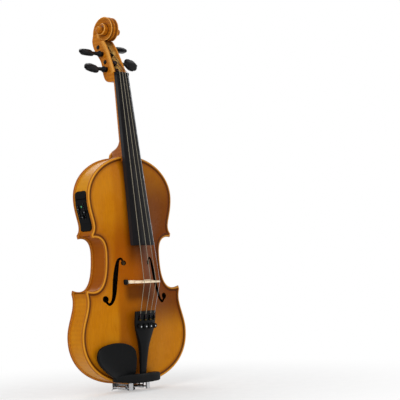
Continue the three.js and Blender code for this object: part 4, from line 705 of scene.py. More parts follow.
# painted shade: near-black f-hole walls, in place of the shade inside the holes
fhole_wall_shade = black("fhole_wall_painted_shade", "060302", "0d0704", 0.8, spec=0.02)
satin = black("black_plastic", "0e0f10", "1c1e20", 0.4)
gloss = black("glossy_plastic", "050506", "0c0d0e", 0.14, coat=0.05, spec=0.03)
nylon = black("nylon", "0d0d11", "1c1c21", 0.5)
steel = metal("steel", "c9cbcd", "a0a3a6", 0.24, brushed=0.1)
dark_steel = metal("dark_steel", "2c2d2f", "18191b", 0.36)
string_steel = metal("string_steel", "b6b8ba", "6e7175", 0.28)
brass = metal("brass_contact", "4a3c1d", "2e2512", 0.4)
print("materials:", len(bpy.data.materials))

# %% [markdown]
# ## Bare wood, cork, silk and lamp
# Inside the box and on the bridge the wood has no varnish; the inner faces of the plates and ribs are
# painted dark brown as shade, while the blocks stay paler. Cork is cells with dark specks. The strings'
# ends
# are wrapped in coloured silk: its ridges are drawn from the length along the string, which the mesh
# carries, so they follow every bend.

# %% Bare wood, cork, silk and lamp
def unvarnished(name, colour, line, pore):
    """Wood without varnish: a dull face with growth rings and open pores"""

    def fill(make, place):
        fibre = use(make, fibres, Vector=place)
        ring = use(make, rings, Vector=place, Rings=520.0)["Line"]
        tone = tinted(make, paint(colour), line, ring, 0.4)
        return {
            "Base Color": tinted(make, tone, pore, fibre["Fine"], 0.3),
            "Roughness": ramp(make, fibre["Broad"], 0.0, 1.0, 0.68, 0.85),
            "Normal": bumped(make, fibre["Fine"], 0.3),
        }

    return finish(name, fill)


def bridge_fill(make, place):
    fibre = use(make, fibres, Vector=place, Stretch=(0.12, 1.0, 1.0), Scale=1500.0)
    drawn = scaled(make, place, (0.35, 1.0, 1.0))
    fleck = make("TexVoronoi", {"Vector": drawn, "Scale": 1100.0}).outputs["Distance"]
    tone = tinted(make, paint("fbe8c8"), "d8b98a", ramp(make, fleck, 0.05, 0.3, 0.22, 0.0))
    return {
        "Base Color": tinted(make, tone, "e3cba0", fibre["Fine"], 0.25),
        "Roughness": ramp(make, fibre["Broad"], 0.0, 1.0, 0.5, 0.64),
        "Normal": bumped(make, fibre["Fine"], 0.25, 0.0001),
    }


def cork_fill(make, place):
    cells = make("TexVoronoi", {"Vector": place, "Scale": 900.0}).outputs["Distance"]
    specks = noise(make, place, 700.0, 4.0)
    tone = tinted(make, paint("7b5230"), "b98a58", ramp(make, cells, 0.1, 0.6))
    return {
        "Base Color": tinted(make, tone, "4a2d18", ramp(make, specks, 0.56, 0.66, 0.0, 0.7)),
        "Roughness": ramp(make, specks, 0.3, 0.7, 0.8, 0.95),
        "Normal": bumped(make, cells, 0.5, 0.0004),
    }


def thread(name, colour, dark):
    """Silk or wire wound round a string: fine ridges along its run"""

    def fill(make, place):
        wound = math(make, "FRACT", times(make, mark(make, "along"), 2.6))
        ridge = math(make, "PINGPONG", wound, 0.5)
        worn = use(make, wear, Vector=place)
        return {
            "Base Color": tinted(make, paint(dark), colour, ramp(make, ridge, 0.0, 0.4)),
            "Roughness": ramp(make, worn["Cloud"], 0.0, 1.0, 0.42, 0.6),
            "Normal": bumped(make, ridge, 0.6, 0.00015),
        }

    return finish(name, fill)


def lamp_fill(make, place):
    ripple = noise(make, place, 900.0, 1.0)
    return {
        "Base Color": tinted(make, paint("1f7a44"), "3aa566", ramp(make, ripple, 0.3, 0.7)),
        "Roughness": ramp(make, ripple, 0.3, 0.7, 0.12, 0.2),
        "Emission Color": paint("4be08a"),
        "Emission Strength": 0.12,
        "Coat Weight": 0.3,
    }


def circuit_fill(make, place):
    tracks = make("TexBrick", {"Vector": place, "Scale": 240.0, "Mortar Size": 0.012}).outputs["Fac"]
    return {
        "Base Color": tinted(make, paint("1c5533"), "2f7d4c", tracks),
        "Roughness": ramp(make, tracks, 0.0, 1.0, 0.36, 0.5),
        "Normal": bumped(make, tracks, 0.4, 0.0001),
    }


def mark_fill(make, place):
    chalk = noise(make, place, 1500.0, 2.0)
    return {
        "Base Color": tinted(make, paint("9b9da0"), "77797c", ramp(make, chalk, 0.4, 0.7)),
        "Roughness": ramp(make, chalk, 0.3, 0.7, 0.35, 0.5),
    }


bare_wood = unvarnished("bare_wood", "8a6940", "5f4425", "4d361d")
# painted shade: the inner faces of plates and ribs are dark brown, as the inside of the box lies in shade
inside_wood_painted_shade = unvarnished("inside_wood_painted_shade", "2e2012", "22170c", "1a1109")
bridge_maple = finish("bridge_maple", bridge_fill)
cork_finish = finish("cork", cork_fill)
red_silk = thread("red_silk", "3d141b", "1c090e")
violet_silk = thread("violet_silk", "2a1f38", "120d1a")
wound_wire = thread("wound_wire", "99907a", "655d4c")
lamp_lens = finish("green_lamp", lamp_fill)
circuit = finish("circuit", circuit_fill)
white_mark = finish("white_mark", mark_fill)
print("finishes:", len(bpy.data.materials))

# %% [markdown]
# ## The outline
# The body has an upper bout, a waist and a lower bout, which meet in four corners. Makers draw it with
# arcs. Here each half is a chain of cubic curves and two rounded quarters. The arching is a formula over x
# and z, so a piece that stands on the belly can ask it for the height.

# %% Outline and arching
body_length, channel_thick, plate_thick = 351.0, 3.3, 2.9
rib_half, overhang, rib_thick = 15.0, 2.8, 1.3
top_arch, back_arch, core_inset = 16.0, 15.0, 12.0
edge_hooks = {
    "lower": [[1, 0.379], [0.824, 0.667]],
    "waist_low": [[1.099, -0.226], [1, 0.396]],
    "waist_high": [[1, 0.708], [1.136, 1.125]],
    "upper": [[0.805, 0.217], [1, 0.478]],
}
core_hooks = {
    "lower": [[1, 0.4], [0.87, 0.8]],
    "waist_low": [[1.3, 0.15], [1, 0.57]],
    "waist_high": [[1, 0.5], [1.166, 0.83]],
    "upper": [[0.938, 0.2], [1, 0.6]],
}
edge_size = {"bottom": 0, "top": body_length, "lower": (105, 75), "upper": (84.5, 287),
             "waist": (54.6, 200), "lower_corner": (94.5, 141), "lower_tip": (93.2, 146.8),
             "upper_corner": (79, 224), "upper_tip": (80.5, 229.8)}
core_size = {"bottom": core_inset, "top": body_length - core_inset, "lower": (93, 75), "upper": (72.5, 287),
             "waist": (44.4, 200), "lower_corner": (72, 135.375), "lower_tip": (71, 137.875),
             "upper_corner": (61.9, 235.25), "upper_tip": (62.35, 237.75)}


def bend(start, end, half, hooks, steps):
    """Cubic curve between two points, with its two hooks as shares of the half width and the rise"""
    a, d = np.array(start, float), np.array(end, float)
    b, c = [np.array([out * half, lerp(a[1], d[1], rise)]) for out, rise in hooks]
    t = np.linspace(0, 1, steps + 1)[:, None]
    return (1 - t) ** 3 * a + 3 * (1 - t) ** 2 * t * b + 3 * (1 - t) * t**2 * c + t**3 * d


def squarer(wave, power):
    """A sine or cosine pushed towards a square wave, for round forms with flatter sides"""
    return np.sign(wave) * np.abs(wave) ** power


def quarter(half, rise, reach, square, steps):
    """Rounded quarter from the middle line to the side; square sets how full its corner is"""
    turn = np.linspace(0, pi / 2, steps + 1)
    return np.c_[half * np.sin(turn) ** (2 / square),
                 lerp(rise, reach, np.cos(turn).clip(0) ** (2 / square))]


def outline(size, hooks, factor):
    """Half of the body's outline in three bouts, from the bottom centre to the top centre"""
    low, high, waist = size["lower"], size["upper"], size["waist"]
    bottom = quarter(*low, size["bottom"], 2.2, 7 * factor)
    top = quarter(*high, size["top"], 2, 6 * factor)[::-1]
    lower = bend(low, size["lower_corner"], low[0], hooks["lower"], 5 * factor)
    up = bend(size["lower_tip"], waist, waist[0], hooks["waist_low"], 6 * factor)
    on = bend(waist, size["upper_corner"], waist[0], hooks["waist_high"], 5 * factor)
    upper = bend(size["upper_tip"], high, high[0], hooks["upper"], 5 * factor)
    return [np.r_[bottom, lower[1:]], np.r_[up, on[1:]], np.r_[upper, top[1:]]]


def whole(bouts):
    """The bouts joined, with two points on the blunt end of each corner"""
    lower, waist, upper = bouts
    ends = [np.linspace(a[-1], b[0], 4)[1:-1] for a, b in ((lower, waist), (waist, upper))]
    return np.r_[lower, ends[0], waist, ends[1], upper]


fine = 5  # times as many points as the CAD outline
edge_bouts = outline(edge_size, edge_hooks, fine)
edge_line, core_line = whole(edge_bouts), whole(outline(core_size, core_hooks, fine))


def edge_gap(x, z):
    """How far points lie inside the body's edge"""
    a, b = edge_line[:-1], edge_line[1:]
    run = b - a
    square = np.maximum(np.sum(run**2, axis=1), 1e-9)
    least = np.full(len(x), np.inf)
    for start, step, size in zip(a, run, square):
        offset = np.c_[np.abs(x) - start[0], z - start[1]]
        share = np.clip(offset @ step / size, 0, 1)
        least = np.minimum(least, np.hypot(*(offset - share[:, None] * step).T))
    return least


def arch_height(x, z, arch):
    """Height of a plate's outer face over the ribs, inside its edge"""
    x, z = np.asarray(x, float), np.asarray(z, float)
    place = np.clip((z - 9) / (body_length - 18), 0, 1)
    crest = (1 - np.abs(2 * place - 1) ** 2.6) ** 0.8
    half = np.interp(z, core_line[:, 1], core_line[:, 0]) + core_inset / 3
    share = np.minimum(np.abs(x) / half, 1)
    ends = rising(np.minimum(z, body_length - z), 9.5, 18)
    return channel_thick + (arch - channel_thick) * crest * ends * np.cos(pi / 2 * share) ** 2


def belly_y(x, z):
    return -rib_half - arch_height(x, z, top_arch)


print("outline points on one half:", len(edge_line))

# %% [markdown]
# ## Carved plates
# Front and back are carved from thick wood: an outer arch, a hollow inside, a channel near the edge and a
# rounded rim. Sculpting would give the look, but no even thickness. Instead, rings shrink from the edge to
# the middle line on both faces, and the arching gives their height.

# %% Carved plates
ring_shares = [0, 0.01, 0.025, 0.045, 0.07, 0.1, 0.14, 0.19, 0.25, 0.32, 0.4, 0.5, 0.62, 0.75, 0.88]
round_over, round_under, rim_lift = 1.9, 1.1, 0.75


def plate_form(arch, side):
    spine = np.c_[np.zeros(len(core_line)),
                  lerp(34, body_length - 34, (core_line[:, 1] - 12) / (body_length - 24))]
    halves = [lerp(edge_line, core_line, share) for share in ring_shares]
    halves += [lerp(core_line, spine, share) for share in np.linspace(0, 1, 15)]
    rings_out, rings_in = [], []
    for half in halves:
        ring = np.r_[half, (half[1:-1] * [-1, 1])[::-1]]
        x, z = ring.T
        gap = edge_gap(x, z)
        rim = rim_lift * rising(7 - gap, 0, 4.4)
        drop = round_over - np.sqrt(np.maximum(round_over**2 - np.maximum(round_over - gap, 0) ** 2, 0))
        rise = round_under - np.sqrt(np.maximum(round_under**2 - np.maximum(round_under - gap, 0) ** 2, 0))
        outer = arch_height(x, z, arch) + rim - drop
        hollow = np.maximum(arch_height(x, z, arch) - plate_thick, 0) * rising(gap, 6, 12)
        rings_out.append(np.c_[x, side * (rib_half + outer), z])
        rings_in.append(np.c_[x, side * (rib_half + rise + hollow), z])
    return loft([*rings_in[::-1], *rings_out], capped=False)


print("rings for each face of a plate:", len(ring_shares) + 15)

# %% [markdown]
# ## The f-holes
# Each f-hole is a curved stem between two round eyes, with a small nick on each side that marks the
# bridge's place. Stem, nick and eyes are separate cutters, because an exact Boolean works best with simple
# forms.

# %% The f-holes
stem_rows = [
    [0.01, -0.02, 0.38], [0.1, -0.125, 0.42], [0.235, -0.07, 0.6], [0.325, 0.14, 0.88], [0.4, 0.36, 1],
    [0.47, 0.6, 1], [0.545, 0.84, 0.9], [0.66, 1.055, 0.68], [0.82, 1.15, 0.54], [0.97, 1.08, 0.5],
]
hole_eyes = (25, 185.3, 3.9), (59, 131.5, 5.1)  # across, rise and radius
stem_half, nick_half = 3.8, 5.6


def sound_hole(side):
    """Cutters for one f-hole: its stem, two eyes and the two nicks beside the bridge"""
    rows = spline(stem_rows, 6)
    upper, lower = hole_eyes
    line = np.c_[upper[0] + rows[:, 0] * (lower[0] - upper[0]),
                 upper[1] - rows[:, 1] * (upper[1] - lower[1])]
    run = directions(line)
    out = left_of(run) * (rows[:, 2] * stem_half)[:, None]
    stem = np.r_[line + out, (line - out)[::-1]]
    middle, along = line[len(line) // 2], run[len(run) // 2]
    wide = np.array([-along[1], along[0]]) * nick_half
    nick = np.array([middle + wide, middle - along * 1.1, middle - wide, middle + along * 1.1])
    turns = around(28)
    eyes = [np.c_[across_x + radius * np.cos(turns), rise + radius * np.sin(turns)]
            for across_x, rise, radius in hole_eyes]
    forms = []
    for flat in (stem, nick, *eyes):
        x, z = side * flat[:, 0], flat[:, 1]
        forms.append(loft([np.c_[x, np.full_like(x, level), z] for level in (-34, -13)]))
    return forms


def gap_value(points):
    return edge_gap(points[:, 0], points[:, 2])


belly_form = carved(plate_form(top_arch, -1), [*sound_hole(1), *sound_hole(-1)])


def plate_parts(arch):
    """0 for a plate's outside, 1 for the walls of its f-holes, painted near black as shade, and 2 for its
    inside, painted dark as shade inside the box
    """

    def rule(centres):
        x, y, z = centres.T
        depth = rib_half + arch_height(x, z, arch) - np.abs(y)
        gap = edge_gap(x, z)
        below_button = z < body_length - 2
        inside = (gap > 4.3) & (depth > plate_thick - 0.25) & below_button
        wall = (gap > 8) & (depth > 0.25) & ~inside & below_button
        return np.where(inside, 2, np.where(wall, 1, 0))

    return rule


piece("top_plate_carved", [belly_form], [belly, fhole_wall_shade, inside_wood_painted_shade], "top_plate",
      choose=plate_parts(top_arch), values={"edge_gap": gap_value})
button_half, button_foot = 10.5, body_length - 5
button_turns = np.linspace(0, pi, 19)
button_arc = np.c_[button_half * np.cos(button_turns), body_length + button_half * np.sin(button_turns)]
button_flat = np.r_[[[button_half, button_foot]], button_arc, [[-button_half, button_foot]]]


def back_gap_value(points):
    """The gap to the edge, with the whole button marked as rim"""
    y, z = points[:, 1], points[:, 2]
    foot = (np.abs(z - button_foot) < 0.8) & (y > rib_half + 0.3) & (y < rib_half + channel_thick + 0.1)
    return np.where((z > body_length + 1) | foot, 2.0, gap_value(points))


button = slab(button_flat, from_front, rib_half + channel_thick, rib_half, bevel=0.6)
piece("back_plate_carved", [plate_form(back_arch, 1), *button], [back_varnish, fhole_wall_shade, inside_wood_painted_shade],
      "back_plate", choose=plate_parts(back_arch), values={"edge_gap": back_gap_value})
print("top and back carved")

# %% [markdown]
# ## Ribs
# The ribs are thin strips of maple, bent over a hot iron and glued between the plates. A strip is the
# outline moved inwards and given a thickness, which fades at the corners, where two ribs meet. The bass
# side's upper rib has an opening for the panel.

# %% Ribs
def rib_form(path, low, high):
    """A thin band beside the edge, thinned where it meets another rib at a corner"""
    stations = evenly(path, 72)
    lengths = path_lengths(stations)
    ends = np.minimum(np.where(low, lengths, np.inf), np.where(high, lengths[-1] - lengths, np.inf))
    thick = rib_thick * np.clip(0.12 + ends / 7, 0, 1)
    outer, inner = beside(stations, overhang), beside(stations, overhang + thick[:, None])
    corners = (outer, -rib_half), (outer, rib_half), (inner, rib_half), (inner, -rib_half)
    return np.stack([np.c_[face[:, 0], np.full(len(face), y), face[:, 1]] for face, y in corners], axis=1)


rib_parts = {
    "lower": (edge_bouts[0], False, True),
    "waist": (edge_bouts[1], True, True),
    "upper": (edge_bouts[2][edge_bouts[2][:, 0] > 9.5], True, False),
}


def along_value(line):
    """Length along the rib at the nearest station, for the flame"""
    spots = evenly(beside(line, overhang), 300)
    lengths = path_lengths(spots)

    def rule(points):
        flat = np.c_[np.abs(points[:, 0]), points[:, 2]]
        return lengths[np.argmin(np.linalg.norm(flat[:, None] - spots[None], axis=2), axis=1)]

    return rule


bass_face = beside(edge_bouts[2], overhang)


def panel_line(low, high, count):
    """Points on the upper rib's outer face between two rises"""
    lengths = path_lengths(bass_face)
    start, end = [np.interp(rise, bass_face[:, 1], lengths) for rise in (low, high)]
    return evenly(bass_face, count, start, end)


def behind_panel(low, high, gap, back, levels):
    """A block in the bass side that follows the rib at a gap and goes back into the box"""
    flat = [[gap - x, z] for x, z in panel_line(low, high, 9)] + [[back, high], [back, low]]
    return loft([[[x, y, z] for x, z in flat] for y in levels])


def refinished(names, look):
    """CAD solids that keep their shape and get a finish"""
    for name in names:
        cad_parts[name].data.materials.clear()
        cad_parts[name].data.materials.append(look)


hole_form = behind_panel(246.6, 293.4, -3, -66, (-10.4, 12.4))
for bout, (path, low, high) in rib_parts.items():
    stations = rib_form(path, low, high)
    for side, sign in (("bass", -1), ("treble", 1)):
        form = loft(stations * [sign, 1, 1])
        if (bout, side) == ("upper", "bass"):
            form = carved(form, [hole_form])
        piece(f"rib_{bout}_{side}_bent", [form], [rib_varnish, inside_wood_painted_shade],
              f"rib_{bout}_{side}", choose=lambda centres: gap_value(centres) > overhang + 0.9,
              values={"along": along_value(path)})
refinished(["neck_block", "end_block", "bass_bar", "sound_post"], bare_wood)
refinished([f"corner_block_{bout}_{side}" for bout in ("upper", "lower") for side in ("bass", "treble")],
           bare_wood)
print("ribs bent, blocks left in bare wood")

# %% [markdown]
# ## The neck
# The neck is one piece of maple from heel to scroll, flat above for the fingerboard and round behind for
# the hand. Sections at chosen heights make it. Near the heel they grow nearly square, so the curve is a
# superellipse, whose power sets that.

# %% Neck lines
nut_rise, board_length, board_round = 479.0, 268.0, 42.0
heel_low, heel_rise = 360.5, 13.5
board_end = nut_rise - board_length


def board_share(z):
    return (nut_rise - z) / board_length


def neck_plane(z):
    """The glued face between neck and fingerboard, which leans back"""
    return -lerp(5.5, 38.5, board_share(z))


def board_half(z):
    return lerp(12.0, 21.0, board_share(z))


def board_face(x, z):
    """The fingerboard's playing face, rounded across with one radius"""
    return neck_plane(z) - 6.5 - (np.sqrt(board_round**2 - np.square(x))
                                  - np.sqrt(board_round**2 - board_half(z) ** 2))


def neck_section(z):
    shaft_back = neck_plane(z) + lerp(9.0, 12.5, min((nut_rise - z) / (nut_rise - heel_low), 1))
    curl = float(np.clip((heel_low + heel_rise - z) / heel_rise, 0, 1))
    back, front = lerp(shaft_back, 14.9, curl**2.6), neck_plane(z) + 0.05
    half = board_half(z) - 0.15
    back_half, power = lerp(half, 10.2, curl**1.5), 2 / lerp(2, 5, curl)
    turn = np.linspace(0, pi, 29)
    down, out = squarer(np.sin(turn), power), squarer(np.cos(turn), power)
    return np.c_[-out * lerp(half, back_half, down), lerp(front, back, down), np.full(29, z)]


heel_steps = heel_low + heel_rise * np.linspace(0, 1, 14) ** 0.8
neck_rises = [342, 348, 352, 357, *heel_steps, 385, 402, 418, 434, 450, 464, 476, 483]
neck_shaft = loft([neck_section(z) for z in neck_rises])

head_depth, head_rise = 46.6, 80.3
eye = np.array([20.0, nut_rise + 75.5])
back_shares = [
    [0.075, -0.12], [0.24, -0.105], [0.37, -0.05], [0.44, 0.06], [0.49, 0.204],
    [0.575, 0.33], [0.715, 0.44], [0.88, 0.56], [0.985, 0.664], [1.035, 0.78], [1, 0.879],
]
front_shares = [[-0.14, 0.06], [-0.12, 0.09], [0.021, 0.281], [0.185, 0.497], [0.32, 0.639], [0.44, 0.741]]
back_line = spline([[a * head_depth, nut_rise + b * head_rise] for a, b in back_shares], 10)
scroll_widths = [[0, 0.472], [0.3, 0.37], [0.55, 0.34], [0.8, 0.4], [1, 0.48], [1.5, 0.7], [2, 0.93],
                 [2.4, 1]]


spiral_start, spiral_turns = radians(-10), 2.4


def spiral_reach(turn):
    """Distance from the eye, which halves with every turn"""
    return 27 * 0.5**turn


def spiral(turn, reach):
    angle = spiral_start + 2 * pi * turn
    return eye + reach * np.array([cos(angle), sin(angle)])


def scroll_half(turn):
    """Half the width of the scroll at a turn"""
    return 20.6 * np.interp(turn, *np.array(scroll_widths).T)


def head_half(rise):
    return np.interp(rise - nut_rise, [-10, 5.6, 71], [12.3, 13.4, 9.75])


front_top = [spiral(turn, spiral_reach(turn)) for turn in np.linspace(0.8, 1, 9)]
front_middle = spline([[a * head_depth, nut_rise + b * head_rise] for a, b in front_shares], 8)
front_line = np.r_[[[-5.0, nut_rise - 10], [-5.0, nut_rise + 4.7]], front_middle, front_top]
print("head lines:", len(back_line), "and", len(front_line), "points")

# %% [markdown]
# ## The pegbox
# The pegbox is a trough between two cheeks that hold the pegs. Each section runs from the back of the head
# to its front, with bevels, shallow flutes and the open trough. Lofting the trough gives cleaner walls than
# cutting it.

# %% The pegbox
flute_steps = np.linspace(0, 1, 9)
rim_bevel, cheek_wall = 0.8, 3.9


def flute(share, depth):
    """One of the two hollows beside the middle ridge on the back of the head"""
    return depth * np.sin(pi * share) ** 0.8


def pegbox_rings():
    """Sections from the back line to the front line, with the trough where it is open"""
    rings = []
    for i, (b, f) in enumerate(zip(evenly(back_line, 64), evenly(front_line, 64))):
        way, room = unit(f - b), np.linalg.norm(f - b)
        trough = nut_rise + 5.4 < f[1] < nut_rise + 57.3 and i < 52
        depth = 2.0 * float(rising(i, 12, 30))
        half_b, half_f = head_half(b[1]), head_half(f[1])
        flat_b, flat_f = half_b - rim_bevel, half_f - rim_bevel
        points = [[flat_b * share, *(b + way * flute(share, depth))] for share in flute_steps]
        points += [[half_b, *(b + way * rim_bevel)]]
        points += [[lerp(half_b, half_f, s), *(b + way * room * s)] for s in (0.3, 0.5, 0.7)]
        points += [[half_f, *(f - way * rim_bevel)], [flat_f, *f]]
        inner = half_f - cheek_wall
        floor = b + way * 4.5 if trough else f
        low = lerp(half_b, half_f, 4.5 / room) - cheek_wall if trough else inner
        points += [[inner + 0.5, *f], [inner, *(f - way * 0.5 if trough else f)]]
        points += [[low, *(floor + way * (1.2 if trough else 0))], [low * 0.86, *floor], [0, *floor]]
        right = np.array(points)
        rings.append(np.r_[right, (right[1:-1] * [-1, 1, 1])[::-1]])
    return rings


print("flutes in", len(flute_steps), "steps")

# %% [markdown]
# ## The volute
# The scroll is a spiral that winds in on itself and comes out sideways at the eye. Every turn halves its
# radius and changes its width. For each step a row of points goes over the fluted back, round the bevelled
# rim and down the terrace to the next turn. A Screw modifier can't change a width as it turns.

# %% The volute
def volute_form(side):
    rows, scoop = [], 1.2
    for turn in np.linspace(0, spiral_turns, 97):
        reach, inner, half = spiral_reach(turn), max(spiral_reach(turn + 1), 5.0), scroll_half(turn)
        if turn <= 1:
            walls = [((half - rim_bevel) * share, reach - flute(share, 2.0)) for share in flute_steps]
        else:
            root = scroll_half(turn - 1) - scoop - 0.4
            walls = [(lerp(root, half - rim_bevel, s), reach - 0.25 * sin(pi * s)) for s in flute_steps]
        terrace = [(half - scoop * sin(pi / 2 * share) ** 0.8, lerp(reach - rim_bevel, inner, share))
                   for share in (0.12, 0.35, 0.6, 0.85, 1)]
        section = [*walls, (half, reach - rim_bevel), *terrace]
        rows.append([[side * x, *spiral(turn, out)] for x, out in section])
    return loft(rows, closed=False, capped=False)


peg_table = {  # side, height over the nut, turn of the head, depth of the axis, reach of the head
    "g": (-1, 11.3, 0.115, 11.535, 4.5), "e": (1, 23.6, 0.17, 14.578, 2.0),
    "d": (-1, 37.6, 0.08, 22.214, 6.5), "a": (1, 50.3, 0.03, 32.313, -3.0),
}
peg_bores = []
for side, over, _, depth, _ in peg_table.values():
    out = side * (head_half(nut_rise + over) + 3)
    peg_bores.append(tube([[out, depth, nut_rise + over], [-out, depth, nut_rise + over]], [4.3, 3.5], 28))
pegbox_form = carved(loft(pegbox_rings()), peg_bores)
eye_profile = [[-1, 0], [-1, 5.3], [6.2, 5.3], [6.9, 5.0], [7.3, 4.2], [7.45, 2.4], [7.45, 0]]
eyes = [lathe(eye_profile, 28, [side * 14, *eye], [side, 0, 0]) for side in (-1, 1)]
volutes = [volute_form(side) for side in (-1, 1)]
print("pegbox bored for", len(peg_bores), "pegs, volute in", len(volutes), "halves")

# %% [markdown]
# ## Marks for the head's varnish
# The head is painted paler on its sharp rims, as a highlight, and inside the trough, as light, and darker
# in its grooves, steps and throat, as shade. Blender's Pointiness could find rims and grooves, but only in
# Cycles, and an export would lose it. So three marks are stored in the mesh: rims, the inside of the
# trough, and grooves.

# %% Marks for the head's varnish
def on_spiral(points):
    """Where points are round the eye: distance, angle, and share of a turn"""
    y, z = points[:, 1] - eye[0], points[:, 2] - eye[1]
    angle = np.arctan2(z, y)
    return np.hypot(y, z), angle, (angle - spiral_start) / (2 * pi) % 1


def rim_highlight_value(points):
    """1 on the bevelled rims of the cheeks and of the volute's turns, for a painted highlight"""
    x, y, z = np.abs(points[:, 0]), points[:, 1], points[:, 2]
    reach, _, turn = on_spiral(points)
    marks = np.zeros(len(points))
    for lap in (turn, turn + 1, turn + 2):
        on_rim = (np.abs(reach - spiral_reach(lap)) < 1.0) & (np.abs(x - scroll_half(lap)) < 0.95)
        marks = np.maximum(marks, on_rim & (lap <= spiral_turns))
    line = evenly(front_line[:-9], 200)
    gap = np.min(np.hypot(y[:, None] - line[None, :, 0], z[:, None] - line[None, :, 1]), axis=1)
    cheek = (gap < 0.9) & (x > head_half(z) - 1.0) & (z > nut_rise + 5)
    return np.maximum(marks, cheek).astype(float)


def level_at(z, line):
    """The level of a line on the head at a rise"""
    order = np.argsort(line[:, 1])
    return np.interp(z, line[order, 1], line[order, 0])


def trough_light_value(points):
    """1 inside the pegbox's trough, for painted light"""
    x, y, z = np.abs(points[:, 0]), points[:, 1], points[:, 2]
    front = level_at(z, evenly(front_line[:-9], 200))
    back = np.interp(z, back_line[10:, 1], back_line[10:, 0])
    inside = (x < head_half(z) - cheek_wall + 0.2) & (z > nut_rise + 5) & (z < nut_rise + 58)
    return (inside & (y > front + 1.0) & (y < back - 2.5)).astype(float)


def groove_shade_value(points):
    """Painted shade: 1 in the grooves on the back of the head and in the throat under the volute, and less
    in the steps between the volute's turns
    """
    x, y, z = np.abs(points[:, 0]), points[:, 1], points[:, 2]
    reach, angle, turn = on_spiral(points)
    half = scroll_half(turn)
    outer = (np.abs(reach + 1.4 - spiral_reach(turn)) < 1.6) & (x < half - 0.9)
    marks = np.where(outer, np.sin(pi * np.clip(x / half, 0, 1)) ** 1.5, 0)
    for lap in (turn, turn + 1):
        wide, inner = scroll_half(lap), spiral_reach(lap + 1)
        step = (reach < spiral_reach(lap) - 1.3) & (reach > inner + 0.7) & (x > wide - 1.6)
        root = (np.abs(reach - inner) < 0.9) & (x < wide + 0.3) & (x > wide - 2.2)
        marks = np.maximum(marks, np.where(root, 1, 0.25 * step))
    # painted shade in the throat under the volute
    out = reach - spiral_reach(turn)
    throat = (out > 0.2) & (angle > radians(-150)) & (angle < radians(-55)) & (x < head_half(z) - 1.2)
    marks = np.maximum(marks, throat * np.clip(1.5 - out / 6, 0, 1))
    spine_low = nut_rise + 12
    back, cheeks = level_at(z, back_line[back_line[:, 1] > spine_low]), head_half(z)
    spine = (z > spine_low) & (z < eye[1]) & (y > back - 2.6) & (x < cheeks - 0.9)
    ridge = np.where(spine, np.sin(pi * np.clip(x / cheeks, 0, 1)) ** 1.5, 0)
    return np.maximum(marks, ridge).astype(float)


# the marks rim, hollow and groove carry the painted highlight, painted light and painted shade
piece("neck_and_scroll", [neck_shaft, pegbox_form, *volutes, *eyes], neck_varnish, "neck",
      crease=38, values={"rim": rim_highlight_value, "hollow": trough_light_value, "groove": groove_shade_value})
print("neck, pegbox and volute carved")

# %% [markdown]
# ## Fingerboard, nut and saddle
# The fingerboard is ebony, wider towards the bridge and rounded across, so that each string can be bowed
# alone. The nut lifts the strings in four slots just wider than each string. The saddle is a small ebony
# bar that keeps the tailgut off the soft spruce edge. Board and nut are lofts that share one curve, so they
# meet without a gap.

# %% Fingerboard, nut and saddle
def board_ring(z, shrink):
    half = board_half(z) - shrink
    x = np.linspace(-half, half, 25)
    low = neck_plane(z) - shrink
    return np.r_[np.c_[x, board_face(x, z) + shrink, np.full(25, z)],
                 [[share * half, low, z] for share in (1, 0.5, -0.5, -1)]]


# the fingerboard's sides, which get the paler black as painted light
def board_side(centres):
    return np.abs(centres[:, 0]) > board_half(centres[:, 2]) - 0.3


board_places = [(board_end, 0.7), (board_end + 0.25, 0.3), (board_end + 0.8, 0.05), (board_end + 2, 0)]
board_places += [(z, 0) for z in np.linspace(board_end + 30, nut_rise - 5, 9)] + [(nut_rise - 0.05, 0)]
piece("fingerboard_planed", [loft([board_ring(*place) for place in board_places])], [ebony, ebony_side_painted_light],
      "fingerboard", crease=30, choose=board_side)

string_table = {  # place across, thickness, clear height over the fingerboard's end
    "g": (-1.5, 0.84, 5.3), "d": (-0.5, 0.82, 4.8), "a": (0.5, 0.72, 4.2), "e": (1.5, 0.5, 3.5),
}
string_notes = "gdae"
nut_break, bridge_break, bridge_foot = nut_rise + 5.1, 154.6, 156.0
nut_spread, bridge_spread = 16 / 3, 33.6 / 3  # from one string to the next


def string_at(note, z):
    """Where a string runs between nut and bridge: across, and level"""
    place, thick, lift = string_table[note]
    nut_x, bridge_x = place * nut_spread, place * bridge_spread

    def x_at(rise):
        return lerp(bridge_x, nut_x, (rise - bridge_break) / (nut_break - bridge_break))

    over_nut = board_face(x_at(nut_rise), nut_rise) - 0.8 - thick / 2
    over_end = board_face(x_at(board_end), board_end) - lift - thick / 2
    return x_at(z), lerp(over_nut, over_end, (nut_break - z) / (nut_break - board_end))


def nut_ring(z, level):
    half = board_half(nut_rise)
    x = np.linspace(-half, half, 97)
    top = board_face(x, nut_rise) - level
    for note, (_, thick, _) in string_table.items():
        across_nut, string_level = string_at(note, nut_rise + 2.5)
        groove = np.abs(x - across_nut) < thick * 0.75
        top = np.where(groove, np.maximum(top, string_level + thick / 2 - 0.05), top)
    foot = neck_plane(nut_rise)
    return np.r_[np.c_[x, top, np.full(97, z)], [[half, foot, z], [-half, foot, z]]]


nut_places = (0, 0.8), (0.5, 1.1), (3, 1.0), (4, 0.6), (4.5, 0.0)
nut_form = loft([nut_ring(nut_rise + over, level) for over, level in nut_places])
piece("nut_slotted", [nut_form], ebony, "nut")
saddle_view = [[-14.8, 0.4], [-14.8, 6.8], [-18.8, 7.0], [-22.6, 6.2], [-24.3, 4.6], [-24.2, 2.6],
               [-21.5, 0.8], [-18, 0.3]]
saddle_form = slab(spline(saddle_view, 4, True), from_side(0), 13.0, -13.0, bevel=0.7)
piece("saddle_rounded", saddle_form, ebony, "saddle", crease=50)
print("fingerboard, nut and saddle ready")

